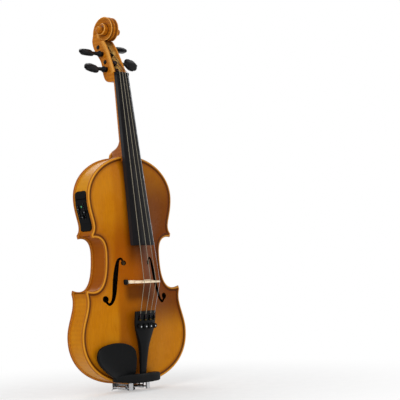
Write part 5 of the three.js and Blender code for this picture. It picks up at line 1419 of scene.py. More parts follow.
# %% [markdown]
# ## Pegs
# A peg is a long taper that sits in two holes by friction. Its shaft is turned, so it is a lathe profile.
# Its head is flat with a hollow on each side for the fingers, which no lathe makes, so it is a stack of
# sections.

# %% Pegs
def peg_form(side, over, turned, depth, out):
    reach, half = 25.5 + out, head_half(nut_rise + over)
    foot, far = [side * half, depth, nut_rise + over], -2 * half
    profile = [[far - 1.9, 0], [far - 1.85, 1.6], [far - 1.5, 2.6], [far - 0.9, 3.15], [far, 3.3], [0, 3.9],
               [3.4, 4.0], [4.2, 4.15], [4.7, 4.9], [5.4, 5.2], [6.2, 5.15], [6.8, 4.6], [7.2, 4.25],
               [8.0, 4.2],
               [8.6, 3.6], [9.4, 3.1], [reach - 12.9, 2.6], [reach - 9, 3.0], [reach, 2.6]]
    button = [[11.2, 1.2], [11.9, 1.25], [12.2, 1.7], [12.7, 1.85], [13.2, 1.6], [13.45, 0.9], [13.5, 0]]
    profile += [[reach + over_head, radius] for over_head, radius in button]
    angle, turns, rings = 2 * pi * turned, around(32), []
    wide, flat = np.array([0, cos(angle), sin(angle)]), np.array([0, -sin(angle), cos(angle)])
    b, c = np.cos(turns), np.sin(turns)
    hollow = 1 - 0.2 * np.exp(-(((np.abs(b) - 0.55) / 0.3) ** 2))
    for a in np.sin(np.linspace(-pi / 2, pi / 2, 25)):
        width = 12 * max(1 - abs(a) ** 3, 0) ** 0.5 * (0.9 if a > 0 else 1.0)
        thick = 5.2 * max(1 - a**4, 0) ** 0.4
        centre = np.array(foot) + [side * (reach + 11.4 * a), 0, 0]
        rings.append(centre + np.outer(b * width, wide) + np.outer(c * thick * hollow, flat))
    return [lathe(profile, 28, foot, [side, 0, 0]), loft(rings)]


for note, numbers in peg_table.items():
    piece(f"peg_{note}_turned", peg_form(*numbers), ebony, f"peg_{note}",
          body=f"peg_{note}_turning", crease=42)
print("four pegs turned")

# %% [markdown]
# ## Strings
# A string starts at the hook of its fine tuner, goes over bridge and nut, and winds round its peg. A tube
# follows a route worked out point by point, so it lies in the slots and meets the peg at a tangent. The
# tailpiece leans, so its pieces are drawn upright and turned by one function.

# %% The tailpiece's frame, and the strings
tail_rise, tail_out = 103, 15
tail_length = hypot(tail_rise, tail_out)
lean = asin(tail_out / tail_length)
tail_shares = [[0, 0.25], [0.04, 0.27], [0.2, 0.28], [0.4, 0.36], [0.52, 0.47], [0.64, 0.7], [0.74, 0.9],
               [0.82, 0.98], [1, 1]]
tail_widths = spline(tail_shares, 8)
tail_widest, tail_dip = 20, 3.6


def from_tail(points):
    """Points of the leaning tailpiece, in the violin's frame"""
    x, y, z = np.asarray(points, float).T
    return np.stack([x, -32 + y * cos(lean) - z * sin(lean), 7 + y * sin(lean) + z * cos(lean)], axis=-1)


def tail_half(z):
    return tail_widest * np.interp(z / tail_length, *tail_widths.T)


def tail_face(x, z):
    """The tailpiece's hollow face"""
    half = tail_half(z)
    return tail_dip * (half / tail_widest) * (np.asarray(x) / half) ** 2


def tuner_at(note):
    x = string_table[note][0] * 9.5
    return x, float(tail_face(x, tail_length))


def leaned(form):
    points, faces = form
    return from_tail(points), faces


def string_route(note):
    """From the tuner's hook over bridge and nut to the peg: 3 points, 12 points, then the coils"""
    thick = string_table[note][1]
    side, over, _, depth, _ = peg_table[note]
    radius = thick / 2
    drum = 3.9 + radius
    x, drop = tuner_at(note)
    hook, bar = drop - 2, drop - 1.7 - radius
    tail = from_tail([[x, hook, tail_length - 12.2], [x, hook, tail_length - 6.4],
                      [x, bar, tail_length - 2.6]])
    bridge_x, bridge_y = string_at(note, bridge_break)
    nut_x, nut_y = string_at(note, nut_break)
    rise = nut_rise + over
    reach = [depth - nut_y, rise - nut_break]
    start = atan2(*reach) - asin(drum / hypot(*reach))
    inner = side * (head_half(rise) - cheek_wall - 1.2 - radius)
    coil = []
    for t in np.linspace(0, 6 if thick > 0.6 else 7, 110):
        turn = start + 2 * pi * t
        coil.append([inner - side * thick * 1.04 * t, depth - drum * cos(turn), rise + drum * sin(turn)])
    straight = evenly([[bridge_x, bridge_y, bridge_break], [nut_x, nut_y, nut_break]], 12)
    return np.r_[tail, straight, coil]


def length_along(route):
    """A rule for each point's length along a route, at its nearest place"""
    lengths = path_lengths(route)
    return lambda points: lengths[np.argmin(np.linalg.norm(points[:, None] - route[None], axis=2), axis=1)]


silk_low = from_tail([[0, 0, tail_length + 14]])[0][2]
for note, (_, thick, _) in string_table.items():
    route = string_route(note)
    ball_profile = [[-1.5, 0.5], [-1.5, 1.2], [-1.2, 1.5], [1.2, 1.5], [1.5, 1.2], [1.5, 0.5]]
    ball = lathe(ball_profile, 20, route[0], [1, 0, 0], closed=True)
    string = tube(np.r_[route[:3], evenly(route[3:15], 60), route[15:]], thick / 2, 12)

    def string_parts(centres, foot=route[0]):
        """0 for the wire, 1 for the silk at both ends, 2 for the brass ball"""
        ball_end = np.hypot(centres[:, 1] - foot[1], centres[:, 2] - foot[2]) < 1.7
        silk_end = (centres[:, 2] < silk_low) | (centres[:, 2] > nut_rise + 6)
        return np.where(ball_end, 2, np.where(silk_end, 1, 0))

    looks = [string_steel if note == "e" else wound_wire, violet_silk if note == "a" else red_silk, brass]
    piece(f"string_{note}_drawn", [string, ball], looks, f"string_{note}", crease=50,
          choose=string_parts, values={"along": length_along(evenly(route[:15], 160))})
print("four strings strung")

# %% [markdown]
# ## Tailpiece
# The tailpiece is moulded black plastic, narrow at the end button and wide at the strings, with a hollow
# face, a raised bar that the strings cross, and openings for the four tuners. It is a loft, and the
# openings are cut with Booleans, because their walls are straight.

# %% Tailpiece
def tail_ring(z, shrink):
    half = float(tail_half(z)) - shrink
    depth = lerp(4.8, 9, min(2 * z / tail_length, 1)) - shrink
    crown = tail_dip * half / tail_widest
    x = np.linspace(-half + 0.5, half - 0.5, 17)
    top = np.c_[x, crown * (x / half) ** 2 + shrink, np.full(17, z)]
    side = [[half, crown + 0.7, z], [half, (depth + 3.6) / 2, z], [half * 0.9, depth, z]]
    return np.r_[top, side, [[-a, b, c] for a, b, c in side[::-1]]]


tail_places = [(0, 0.8), (0.25, 0.35), (0.9, 0)] + [(z, 0) for z in np.linspace(3, tail_length - 3, 30)]
tail_places += [(tail_length - 0.9, 0), (tail_length - 0.25, 0.35), (tail_length, 0.8)]
tail_cutters, screw_rise = [], tail_length - 22
for note in string_notes:
    x, drop = tuner_at(note)
    for low, top in ((tail_length - 26.5, drop + 2.4), (tail_length - 13.4, drop - 3)):
        view = [[x - 1.9, top], [x + 1.9, top], [x + 1.9, 12], [x - 1.9, 12]]
        tail_cutters.append(loft([[[*corner, z] for corner in view] for z in (low, tail_length - 5.6)]))
    tail_cutters.append(tube([[x, drop - 3, screw_rise], [x, drop + 5, screw_rise]], 1.8, 20))
tail_cutters += [tube([[x, 2.4, -3], [x, 2.4, 12]], 1.3, 20) for x in (-2.9, 2.9)]
tail_form = carved(loft([tail_ring(*place) for place in tail_places]), tail_cutters)
fret_view = [(-0.9, 1.2), (-0.9, -0.9), (-0.55, -1.45), (0, -1.6), (0.55, -1.45), (0.9, -0.9), (0.9, 1.2)]
fret = loft([[[x, float(tail_face(x, tail_length)) + y, tail_length - 2.6 + z] for z, y in fret_view]
             for x in np.linspace(-18, 18, 25)])
piece("tailpiece_moulded", [leaned(tail_form), leaned(fret)], satin, "tailpiece",
      crease=38)

# %% [markdown]
# ## Fine tuners
# A fine tuner is a bent lever and a knurled screw. The screw presses one end, and the other pulls the
# string a little tighter. The lever is cut from sheet, so it is a slab, with two prongs that leave room for
# the string. Lever and screw ride on bodies of their own, so each moves alone.

# %% Fine tuners
lever_arm = [[1.2, -10.4], [2, -10.4], [5.2, -13.4], [5.2, -25.2], [7, -25.2], [7, -11.6], [6, -9.4],
             [2.9, -8.4], [1.2, -8.4]]
lever_prong = [[-3.2, -8.4], [-3.2, -9.9], [-2.6, -10.4], [2, -10.4], [2.4, -8.4]]
for note, (_, thick, _) in string_table.items():
    x, drop = tuner_at(note)
    prong_gap, forms = thick / 2 + 0.3, []
    for flat, low, high in ((lever_arm, -1.5, 1.5), (lever_prong, -1.5, -prong_gap),
                            (lever_prong, prong_gap, 1.5)):
        forms += slab(np.array(flat) + [drop, tail_length], from_side(x), high, low, bevel=0.18)
    forms.append(tube([[x - 2.9, drop + 4.9, tail_length - 11.6],
                       [x + 2.9, drop + 4.9, tail_length - 11.6]], 1.1, 16))
    piece(f"tuner_lever_{note}_bent", [leaned(form) for form in forms], dark_steel,
          f"tuner_lever_{note}", body=f"tuner_{note}_lever", crease=30)
    base = 0.3 - float(tail_face(max(abs(x) - 3.9, 0), screw_rise))
    tip = -(drop + 4.9)
    profile = [[tip, 0], [tip, 1.1], [tip + 0.5, 1.5], [base, 1.5], [base, 3.0]]
    knurled = [[0.25, 3.6, 0.0], [0.5, 3.75, 0.16], [3.6, 3.75, 0.16], [4.0, 3.5, 0.0]]
    button = [[4.3, 3.1], [4.4, 2.1], [4.7, 2.05], [4.9, 1.7], [4.9, 1.15], [5.1, 0.9], [5.1, 0]]
    profile += [[base + over, *rest] for over, *rest in knurled + button]
    foot = from_tail([[x, 0, screw_rise]])[0]

    def on_shank(centres, foot=foot):
        """1 near the screw's own axis"""
        return np.linalg.norm(np.cross(centres - foot, [0, -cos(lean), -sin(lean)]), axis=1) < 1.2

    piece(f"tuner_screw_{note}_knurled", [leaned(lathe(profile, 72, [x, 0, screw_rise], [0, -1, 0]))],
          [satin, steel], f"tuner_screw_{note}", body=f"tuner_{note}_screw", crease=28,
          choose=on_shank)
print("tailpiece and tuners ready")

# %% [markdown]
# ## Bridge and pickup
# The bridge is thin maple that stands on the belly, held by the strings alone. Its top follows the strings,
# and its heart and side cuts make it light. One outline with a hole does it, thinner towards the top. Its
# feet ask the arching for their height, so they meet the belly everywhere. The pickup is a small block at
# the bass foot.

# %% Bridge and pickup
foot_level, bridge_tall, foot_half = -31.0, 33.0, 20.8
bridge_side = [
    [0.87, 0.8], [0.81, 0.72], [0.63, 0.61], [0.6, 0.53], [0.7, 0.46], [0.85, 0.39], [0.87, 0.29],
    [0.79, 0.2], [0.84, 0.12], [1, 0.06],
]
bridge_foot_top = [[0.5, 0.07], [0.54, 0.13], [0.4, 0.21], [0.2, 0.27]]
heart = [[0, 0.4], [0.1, 0.45], [0.19, 0.52], [0.2, 0.58], [0.12, 0.62], [0.03, 0.585],
         [-0.03, 0.585], [-0.12, 0.62], [-0.2, 0.58], [-0.19, 0.52], [-0.1, 0.45]]


def bridge_points(shares):
    return np.asarray(shares) * [foot_half, -bridge_tall] + [0, foot_level]


def bridge_top(x):
    """The arched top of the bridge, just under the middle of each string"""
    places = np.array([string_at(note, bridge_break) for note in string_notes])
    return np.polyval(np.polyfit(*places.T, 3), x) + 0.12


def foot_sole(x):
    return float(belly_y(x, bridge_foot)) + 0.05


top_x = np.linspace(18.4, -18.4, 45)
crest = np.c_[top_x, bridge_top(top_x) + np.where(np.abs(top_x) > 17.8, 0.3, 0)]
sole = [[x, foot_sole(x)] for x in np.linspace(foot_half, foot_half * 0.5, 9)]
half_line = np.r_[spline(bridge_points(bridge_side), 5), sole, spline(bridge_points(bridge_foot_top), 5)]
arch_top = [[0, foot_level - 0.29 * bridge_tall]]
bridge_flat = np.r_[crest, half_line * [-1, 1], arch_top, half_line[::-1]]


def bridge_thick(x, y):
    share = np.clip((foot_level - y) / bridge_tall, 0, 1)
    return lerp(5.0, 2.2, share**0.9)


bridge_form = slab(bridge_flat, lambda x, y, level: (x, y, bridge_foot - 2.5 + level), bridge_thick, 0.0,
                   holes=[spline(bridge_points(heart), 5, True)], bevel=0.22, spacing=2.4)
piece("bridge_cut", bridge_form, bridge_maple, "bridge", crease=34)


def on_belly(lift):
    """A level this far in front of the belly's face, for forms that stand on it"""
    return lambda x, z: belly_y(x, z) - lift


pickup_x, turns = -24.4, around(32)
pickup_y = float(belly_y(pickup_x, bridge_foot))
pickup_flat = np.c_[pickup_x + 3 * squarer(np.cos(turns), 0.45),
                    bridge_foot + 4 * squarer(np.sin(turns), 0.45)]
pickup_shell = slab(pickup_flat, from_front, pickup_y - 3.6, on_belly(0.02), bevel=0.5)
piece("pickup_shell", pickup_shell, satin, "pickup", crease=50)
lead_points = [[pickup_x, pickup_y + 1.7, 156], [-24.5, -19, 156], [-30, -9, 160], [-40, -2, 176],
               [-46, 2, 200], [-48, 3, 230], [-50, 2, 250], [-54, 1, 262]]
piece("pickup_lead_sleeved", [tube(spline(lead_points, 12), 1.0, 14)], nylon, "pickup_lead",
      crease=60)
print("bridge cut, pickup beside it")

# %% [markdown]
# ## Chin rest
# The chin rest is a shallow cup beside the tailpiece, with an arm that crosses over it. The cup's rim is a
# closed spline, and rings that shrink to its middle give the underside, edge and dish. Sculpting would be
# freer but harder to fit. The arm is a loft of rounded boxes, and two cork pads cut to the arch keep it off
# the varnish.

# %% Chin rest
cup_shares = [
    [0.648, 0.23], [0.652, 0.405], [0.648, 0.595], [0.622, 0.786], [0.551, 0.905], [0.441, 0.976],
    [0.323, 1], [0.205, 0.984], [0.11, 0.944], [0.039, 0.873], [0.004, 0.738], [0.016, 0.579],
    [0.071, 0.452], [0.157, 0.317], [0.268, 0.175], [0.378, 0.079], [0.504, 0.021], [0.6, 0.01],
    [0.642, 0.05],
]
cup_size, cup_corner = [109, 63], [-84, 2.5]
cup_rim = spline(np.array(cup_shares) * cup_size + cup_corner, 7, True)
cup_middle = np.mean(cup_rim, axis=0)


def cup_ring(share, height):
    x, z = (cup_middle + (cup_rim - cup_middle) * share).T
    return np.c_[x, belly_y(x, z) - height, z]


under_rows = [(0.02, 3.05), (0.3, 3.0), (0.6, 3.0), (0.85, 3.1), (0.94, 3.5), (0.98, 4.6)]
edge_rows = [(0.998, 6.2), (1.0, 7.8), (0.99, 9.1), (0.97, 9.8), (0.945, 9.9)]
dish_rows = [(share, 7.5 + 2.5 * share**3) for share in (0.9, 0.8, 0.65, 0.5, 0.3, 0.15, 0.02)]
cup_form = loft([cup_ring(*row) for row in [*under_rows, *edge_rows, *dish_rows]])


def arm_ring(x, top, bottom, low, high):
    """Rounded section of the arm that crosses over the tailpiece"""
    turns = around(28, 0.5)
    y = -(top + bottom) / 2 - (top - bottom) / 2 * squarer(np.sin(turns), 0.4)
    z = (low + high) / 2 + (high - low) / 2 * squarer(np.cos(turns), 0.4)
    return np.c_[np.full(28, x), y, z]


arm_rows = [(-54, 26.4, 23, 7.5, 14), (-48, 28.2, 23.5, 6.2, 15.2), (-42, 30.1, 24.5, 5.2, 16),
            (-36, 32.0, 26, 4.4, 16.4), (-30, 34.0, 28, 3.8, 16.6), (-24, 36.0, 30.4, 3.3, 16.6),
            (-18, 37.9, 32.8, 2.9, 16.6), (-12, 39.1, 34.3, 2.7, 16.6), (-8, 39.5, 34.5, 2.7, 16.6),
            (8, 39.5, 34.5, 2.7, 16.6), (13.9, 39.5, 34.4, 2.7, 16.6), (14.6, 39.5, 25.5, 2.7, 16.6),
            (16, 39.4, 22.6, 2.7, 16.6), (22, 38.6, 22.2, 2.7, 16.6), (27.5, 37.4, 22.3, 2.9, 16.5),
            (29.6, 36.4, 22.9, 3.6, 15.8), (30.6, 35.2, 24, 4.8, 14.6), (31, 33.4, 25.6, 6.4, 13)]
arm_form = loft([arm_ring(*row) for row in arm_rows])
piece("chin_rest_moulded", [cup_form, arm_form], satin, "chin_rest", crease=48)


def pad(side, low, high, top):
    corners = [[low, 5.8], [low + 0.6, 5.2], [high - 0.6, 5.2], [high, 5.8], [high, 14.2],
               [high - 0.6, 14.8], [low + 0.6, 14.8], [low, 14.2]]
    form = slab(spline(corners, 3, True), from_front, top, on_belly(0.03), bevel=0.12, spacing=3.0)
    piece(f"cork_pad_{side}", form, cork_finish, f"chin_rest_cork_{side}", crease=40)


pad("bass", -46, -24, on_belly(3.05))
pad("treble", 20.6, 28.5, -22.3)
print("chin rest moulded on its cork pads")

# %% [markdown]
# ## The clamp
# Below the edge, two long nuts pull the chin rest and a foot on the back together. Each has a hole across
# it for a pin that turns it. Barrels and posts are lathe forms, and the strips are slabs, because the real
# ones are turned and cut from sheet.

# %% Clamp under the chin rest
post_x, post_rise = 17, -5.6


def strip_view(level, thick):
    """Side view of the flat strip that a clamp post holds, with rounded ends"""
    ends = [(0, -8.3), (0, 11.3), (0.2, 11.9), (0.5, 12.1), (0.8, 11.9), (1, 11.3), (1, -8.3), (0.8, -8.8),
            (0.5, -8.9), (0.2, -8.8)]
    return np.array([[level + thick * share, rise] for share, rise in ends])


for side, name in ((-1, "bass"), (1, "treble")):
    x = side * post_x
    strip = slab(strip_view(-19.35, -2.9), from_side(x), 3.2, -3.2, bevel=0.12)
    thread_rows = [[0, 1.3], [0.4, 1.45], [0.8, 1.3], [1.2, 1.45], [1.6, 1.3], [16.4, 1.3], [17.0, 0.9],
                   [17.05, 0]]
    post = lathe([[-2, 0], [-2, 1.3], *thread_rows], 20, [x, -20, post_rise], [0, 1, 0])
    piece(f"clamp_post_{name}_bent", [*strip, post], steel, f"clamp_post_{name}", crease=40)
    half_shell = [[10, 1.7], [10, 2.5], [9.6, 2.9], [6.2, 2.9], [5.9, 2.7], [5.6, 2.9]]
    shell = [[-along, radius] for along, radius in half_shell] + half_shell[::-1]
    turned = lathe([*shell, shell[0]], 32, [x, 0, post_rise], [0, 1, 0], closed=True)
    form = carved(turned, [tube([[x - 4, 0, post_rise], [x + 4, 0, post_rise]], 0.8, 16)])
    piece(f"clamp_barrel_{name}_turned", [form], steel, f"clamp_barrel_{name}",
          body=f"barrel_{name}", crease=40)
half_foot = [[19.4, -8.8], [20.2, -8], [20.2, 11.2], [19.4, 12], [14.4, 12], [13.6, 11.2], [13.4, 2.4],
             [12.6, 1.6]]
other_foot = [[-x, z] for x, z in half_foot[::-1]]
foot_flat = spline([other_foot[-2], other_foot[-1], *half_foot, *other_foot[:-2]], 3, True)
foot_form = slab(foot_flat, from_front, 20.8, 19.3, bevel=0.35)
foot_rows = [[0, 0], [0, 0.9], [0.5, 1.3], [16.6, 1.3], [17, 1.6], [17.2, 0]]
foot_posts = [lathe(foot_rows, 20, [x, 3, post_rise], [0, 1, 0]) for x in (-post_x, post_x)]
piece("clamp_foot_bent", [*foot_form, *foot_posts], steel, "clamp_foot", crease=40)
print("clamp ready")

# %% [markdown]
# ## End button and tailgut
# The end button is a turned ebony knob in the lower block. The tailgut is a loop of nylon from the
# tailpiece over the saddle and round the button's neck. The button is a lathe form, and the loop a tube
# along half a route, an arc and the mirrored half, so that both sides match.

# %% End button and tailgut
button_profile = [[-17, 0], [-17, 3.0], [-2.6, 3.6], [-2.6, 6.2], [-2.2, 6.5], [0.8, 6.5], [1.4, 6.2],
                  [1.8, 5.2], [2.4, 4.4], [3.6, 4.1], [5.2, 4.15], [6.0, 4.6], [6.5, 5.8], [7.0, 6.6],
                  [7.8, 6.8], [9.0, 6.75], [10.0, 6.1], [10.6, 5.2], [10.95, 4.4], [11, 0]]
piece("end_button_turned", [lathe(button_profile, 40, [0, 0, 0], [0, 0, -1])], ebony,
      "end_button", crease=40)
gut_route = [[2.9, -30.9, 16.2], [2.9, -29.75, 8.2], [2.95, -29.3, 6.6], [3.4, -27.2, 3.9],
             [3.9, -25.5, 1.3], [4.5, -23.3, -1.9], [5, -17, -3], [5.3, -7, -3.9]]
neck_turns = np.linspace(0, pi, 7)  # round the button's neck
gut_arc = [[5.4 * cos(turn), 5.4 * sin(turn), -4] for turn in neck_turns]
gut_points = [*gut_route, *gut_arc, *[[-x, y, z] for x, y, z in gut_route[::-1]]]
piece("tailgut_looped", [tube(spline(gut_points, 8), 1.0, 14)], nylon, "tailgut", crease=60)
print("button and tailgut ready")

# %% [markdown]
# ## The panel's places
# The preamp's panel is let into the rib and follows its curve, since a flat one would stand off the wood.
# Its outline is drawn flat, and one function bends each point on to the rib's face. The sliders move in a
# straight line, so slots, knobs and lamp use a second frame on a chord between two points of the rib.

# %% The panel's places
panel_path = panel_line(228, 302, 260)
panel_lengths = path_lengths(panel_path)
panel_run = directions(panel_path)


def length_at(rise):
    return float(np.interp(rise, panel_path[:, 1], panel_lengths))


def on_rib(s, y, out):
    """A place on the bass rib's face: length along it, level, and distance out of it"""
    x, z = [np.interp(s, panel_lengths, panel_path[:, axis]) for axis in (0, 1)]
    run_x, run_z = [np.interp(s, panel_lengths, panel_run[:, axis]) for axis in (0, 1)]
    return -(x + run_z * out), y, z - run_x * out


chord_low, chord_high = 254.0, 278.0
chord = np.array([panel_line(z, 290, 2)[0] for z in (chord_low, chord_high)])
chord_length = float(np.linalg.norm(chord[1] - chord[0]))
chord_run = (chord[1] - chord[0]) / chord_length


def from_panel(points):
    """Points on the sliders' chord: distance out of the rib, level, and length along the chord"""
    out, y, along = np.asarray(points, float).T
    return np.stack([-(chord[0][0] + chord_run[0] * along + chord_run[1] * out), y,
                     chord[0][1] + chord_run[1] * along - chord_run[0] * out], axis=-1)


def on_chord(y):
    """Place for a slab that is drawn beside a slot, by its length and its distance out"""
    return lambda along, out, aside: tuple(from_panel(np.stack([out, y + aside, along], -1)).T)


def rounded(low_u, high_u, low_v, high_v, corners, steps=6):
    """Flat rectangle with a radius at each corner, from the low corner round"""
    spots = [(low_u, low_v, 1, 1), (high_u, low_v, -1, 1), (high_u, high_v, -1, -1), (low_u, high_v, 1, -1)]
    points = []
    for quarter_turn, (u, v, a, b), radius in zip((2, 3, 0, 1), spots, np.broadcast_to(corners, 4)):
        for turn in quarter_turn * pi / 2 + np.linspace(0, pi / 2, steps):
            points.append([u + a * radius + radius * cos(turn), v + b * radius + radius * sin(turn)])
    return np.array(points)


def split(loop, spacing=1.6):
    """The loop with its long sides split, so that it bends with the rib"""
    points = []
    for a, b in zip(loop, np.roll(loop, -1, axis=0)):
        count = max(int(np.linalg.norm(b - a) / spacing), 1)
        points += [lerp(a, b, i / count) for i in range(count)]
    return np.array(points)


print("panel path:", round(float(panel_lengths[-1]), 1), "mm along the rib")

# %% [markdown]
# ## Panel, window and tub
# The panel has a frame with round corners, a glossy window in it, and a tub behind that holds the circuit
# board and the cell. Their outlines are split into short steps before they are bent, or they would cut the
# curve like a ruler. The same cutters make the slots and the lamp's hole in all of them.

# %% Panel, window and tub
panel_low, panel_door, panel_high = length_at(235), length_at(284), length_at(296)
slot_middles = [-5.6, 1.0, 7.6]
slot_lengths = [chord_length, chord_length / 2, chord_length]
lamp_along = (273 - chord_low) / chord_run[1]
slot_cutters = []
for y, top in zip(slot_middles, slot_lengths):
    view = [[y - 0.9, 0], [y + 0.9, 0], [y + 0.9, top], [y - 0.9, top]]
    slot_cutters.append(loft([from_panel([[out, *corner] for corner in view]) for out in (-3.4, 6)]))
cutters = [*slot_cutters, tube(from_panel([[-3, 1, lamp_along], [6, 1, lamp_along]]), 1.8, 24)]
panel_levels = -12, 14
frame_flat = rounded(panel_low, panel_door - 0.15, *panel_levels, (5, 0.4, 0.4, 5))
window_flat = rounded(length_at(247.5), panel_door - 0.9, -10.6, 12.6, (1.2, 0.8, 0.8, 1.2))
door_flat = rounded(panel_door + 0.15, panel_high, *panel_levels, (0.4, 5, 5, 0.4))


def cut_sheet(flat, top, bottom, bevel):
    """A bent sheet on the rib, as one closed form, with the slots and the lamp's hole"""
    mesh = mesh_from("sheet", slab(split(flat), on_rib, top, bottom, bevel=bevel, spacing=2.0), 1.0)
    shape = read(mesh)
    bpy.data.meshes.remove(mesh)
    return carved(shape, cutters)


frame_form, window_form = cut_sheet(frame_flat, 1.75, 0.02, 0.55), cut_sheet(window_flat, 2.05, 0.3, 0.25)
cell_x, cell_rise = -70.5, 287.6
room = behind_panel(249.6, 283, 2.0, -54, (-8.6, 10.6))
cell_room = tube([[cell_x, 1, cell_rise - 2], [cell_x, 1, cell_rise + 2]], 10.3, 32)
way_view = [[cell_x, -2], [-92, -2], [-92, 2], [cell_x, 2]]
way_out = loft([[[x, y, cell_rise + over] for x, over in way_view] for y in (-9.3, 11.3)])
tub_form = carved(behind_panel(248, 292.6, 0.4, -57, (-10.1, 12.1)), [room, *cutters, cell_room, way_out])
piece("preamp_frame", [frame_form, tub_form], gloss, "preamp_housing", crease=30)
piece("preamp_window", [window_form], gloss, crease=30)
print("panel, window and tub cut with", len(cutters), "cutters each")

# %% [markdown]
# ## Scale marks and battery door
# Beside each slot is a row of thin printed lines, longer in the middle. They are very thin slabs, which
# need no image. The upper end of the panel is the battery door, with three small ribs for a fingernail, and
# swings out with its own body.

# %% Scale marks and battery door
marks = []
for y, top in zip(slot_middles, slot_lengths):
    for share in np.linspace(0.04, 0.96, 5 if top < 20 else 9):
        wide = 0.75 if abs(share - 0.5) > 0.01 else 1.2
        s, low, high = length_at(chord_low) + top * share * 0.995, y + 1.35, y + 1.35 + wide
        line = np.array([[s - 0.11, low], [s + 0.11, low], [s + 0.11, high], [s - 0.11, high]])
        marks += slab(line, on_rib, 2.075, 2.0, bevel=0.01)
piece("preamp_scale_marks", marks, white_mark)
door_form = slab(split(door_flat), on_rib, 1.95, 0.05, bevel=0.55, spacing=2.0)
for s in panel_high - np.array([5.4, 4.2, 3.0]):
    door_form += slab(split(rounded(s, s + 0.5, -2.2, 4.2, 0.2, 3)), on_rib, 2.2, 1.6, bevel=0.12)
piece("battery_door_moulded", door_form, gloss, "battery_door", body="door", crease=30)
print("preamp panel let in")

# %% [markdown]
# ## Sliders, lamp, cell and circuit board
# Each knob is a small black cap with a hollow for the fingertip and a white line, on a post that goes
# through its slot. All are slabs in the chord's frame, so a number moves them along it. The lamp is a lathe
# dome. The circuit board keeps its CAD shape and only gets a finish.

# %% Sliders, lamp, cell and circuit board
half_knob = [[0.4, 4.55], [0.9, 4.7], [1.5, 4.9], [2.1, 4.75], [2.42, 4.3], [2.5, 2.9]]
knob_view = np.array([[-along, out] for along, out in half_knob[::-1]] + half_knob)
knob_rests = [("treble", 0.45), ("bass", 0.3), ("volume", 0.66)]
for (name, rest_share), y, top in zip(knob_rests, slot_middles, slot_lengths):
    along = top * rest_share
    cap = slab(knob_view + [along, 0], on_chord(y), 1.7, -1.7, bevel=0.22)
    post = slab(rounded(along - 0.55, along + 0.55, -1.9, 3.1, 0.1, 3), on_chord(y), 0.55, -0.55,
                bevel=0.08)
    piece(f"slider_{name}_cap", [*cap, *post], satin, f"slider_{name}",
          body=f"{name}_knob", crease=34)
    line = slab(rounded(along - 0.18, along + 0.18, 4.5, 4.62, 0.02, 3), on_chord(y), 1.45, -1.45,
                bevel=0.01)
    piece(f"slider_{name}_line", line, white_mark, body=f"{name}_knob")
dome = [[-2.4, 0], [-2.4, 1.5], [2.0, 1.5], [2.3, 1.4], [2.5, 1.1], [2.6, 0.6], [2.62, 0]]
lamp_foot = from_panel([[0, 1, lamp_along]])[0]
lamp_way = from_panel([[1, 1, lamp_along]])[0] - lamp_foot
piece("preamp_lamp_lens", [lathe(dome, 28, lamp_foot, lamp_way)], lamp_lens, "preamp_lamp",
      crease=50)
cell_profile = [[-1.6, 0], [-1.6, 7.6], [-1.35, 8.3], [-1.3, 9.3], [-1.0, 9.7], [1.3, 9.7], [1.6, 9.4],
                [1.6, 0]]
cell_form = lathe(cell_profile, 48, [cell_x, 1, cell_rise], [0, 0, 1])
piece("battery_cell_pressed", [cell_form], steel, "battery_cell", crease=40)
refinished(["circuit_board"], circuit)
print("sliders, lamp and cell in place")

# %% [markdown]
# ## Output jack
# The jack is a metal sleeve through the treble lower rib, with a hexagonal nut outside. The sleeve is one
# lathe profile that goes out, over the rim and back down the bore, so the socket is truly hollow without a
# Boolean. The nut is a slab with a hole, whose corners are turned down.

# %% Output jack
jack_spot = np.array([35.528, 0, 6.085])
jack_way = np.array([0.205067, 0, -0.978748])
jack_profile = [[-22.2, 0], [-22.2, 5.9], [-21.6, 6.5], [-2.9, 6.5], [-2.2, 6.0], [-2.2, 4.7], [2.9, 4.7],
                [3.3, 4.45], [3.4, 4.2], [3.4, 3.5], [3.1, 3.3], [-20.6, 3.3], [-20.6, 0]]
piece("output_jack_turned", [lathe(jack_profile, 40, jack_spot, jack_way)], steel, "output_jack",
      crease=34)
side_way, other_way = across(jack_way)
hexagon = [[7 * cos(turn), 7 * sin(turn)] for turn in around(6, 0.5)]
bore = np.array([[5.0 * cos(turn), 5.0 * sin(turn)] for turn in around(32)])


def on_jack(u, v, level):
    return tuple(jack_spot[:, None] + np.outer(side_way, u) + np.outer(other_way, v)
                 + np.outer(jack_way, level))


def nut_top(u, v):
    """The nut's outer face, which falls towards its corners"""
    return 2.6 - 0.5 * rising(np.hypot(u, v), 6.0, 7.0)


nut_form = slab(split(np.array(hexagon), 1.2), on_jack, nut_top, 0.3, holes=[bore], bevel=0.2)
piece("jack_nut_faced", nut_form, steel, "jack_nut", crease=30)
print("jack ready,", len(bpy.data.meshes), "meshes")

# %% [markdown]
# ## Floor
# A picture on white needs a white floor, but more light would bleach the violin. So, for rays from the
# camera and for reflections, the floor turns into plain white away from the violin, while near it the
# shaded floor stays and keeps the shadow.

# %% Floor
def floor_fill(make, place):
    grain = noise(make, place, 60.0, 3.0)
    return {
        "Base Color": mixed(make, ramp(make, grain, 0.3, 0.7), (0.86, 0.86, 0.86, 1), (0.9, 0.9, 0.9, 1)),
        "Roughness": ramp(make, grain, 0.3, 0.7, 0.9, 1.0),
        "Specular IOR Level": 0.1,
    }


def seen_white(make):
    """1 for rays that should see plain white: from the camera, in mirrors and through glass"""
    path = make("LightPath").outputs
    glossy = math(make, "MAXIMUM", path["Is Glossy Ray"], path["Is Transmission Ray"])
    return math(make, "MAXIMUM", path["Is Camera Ray"], glossy)


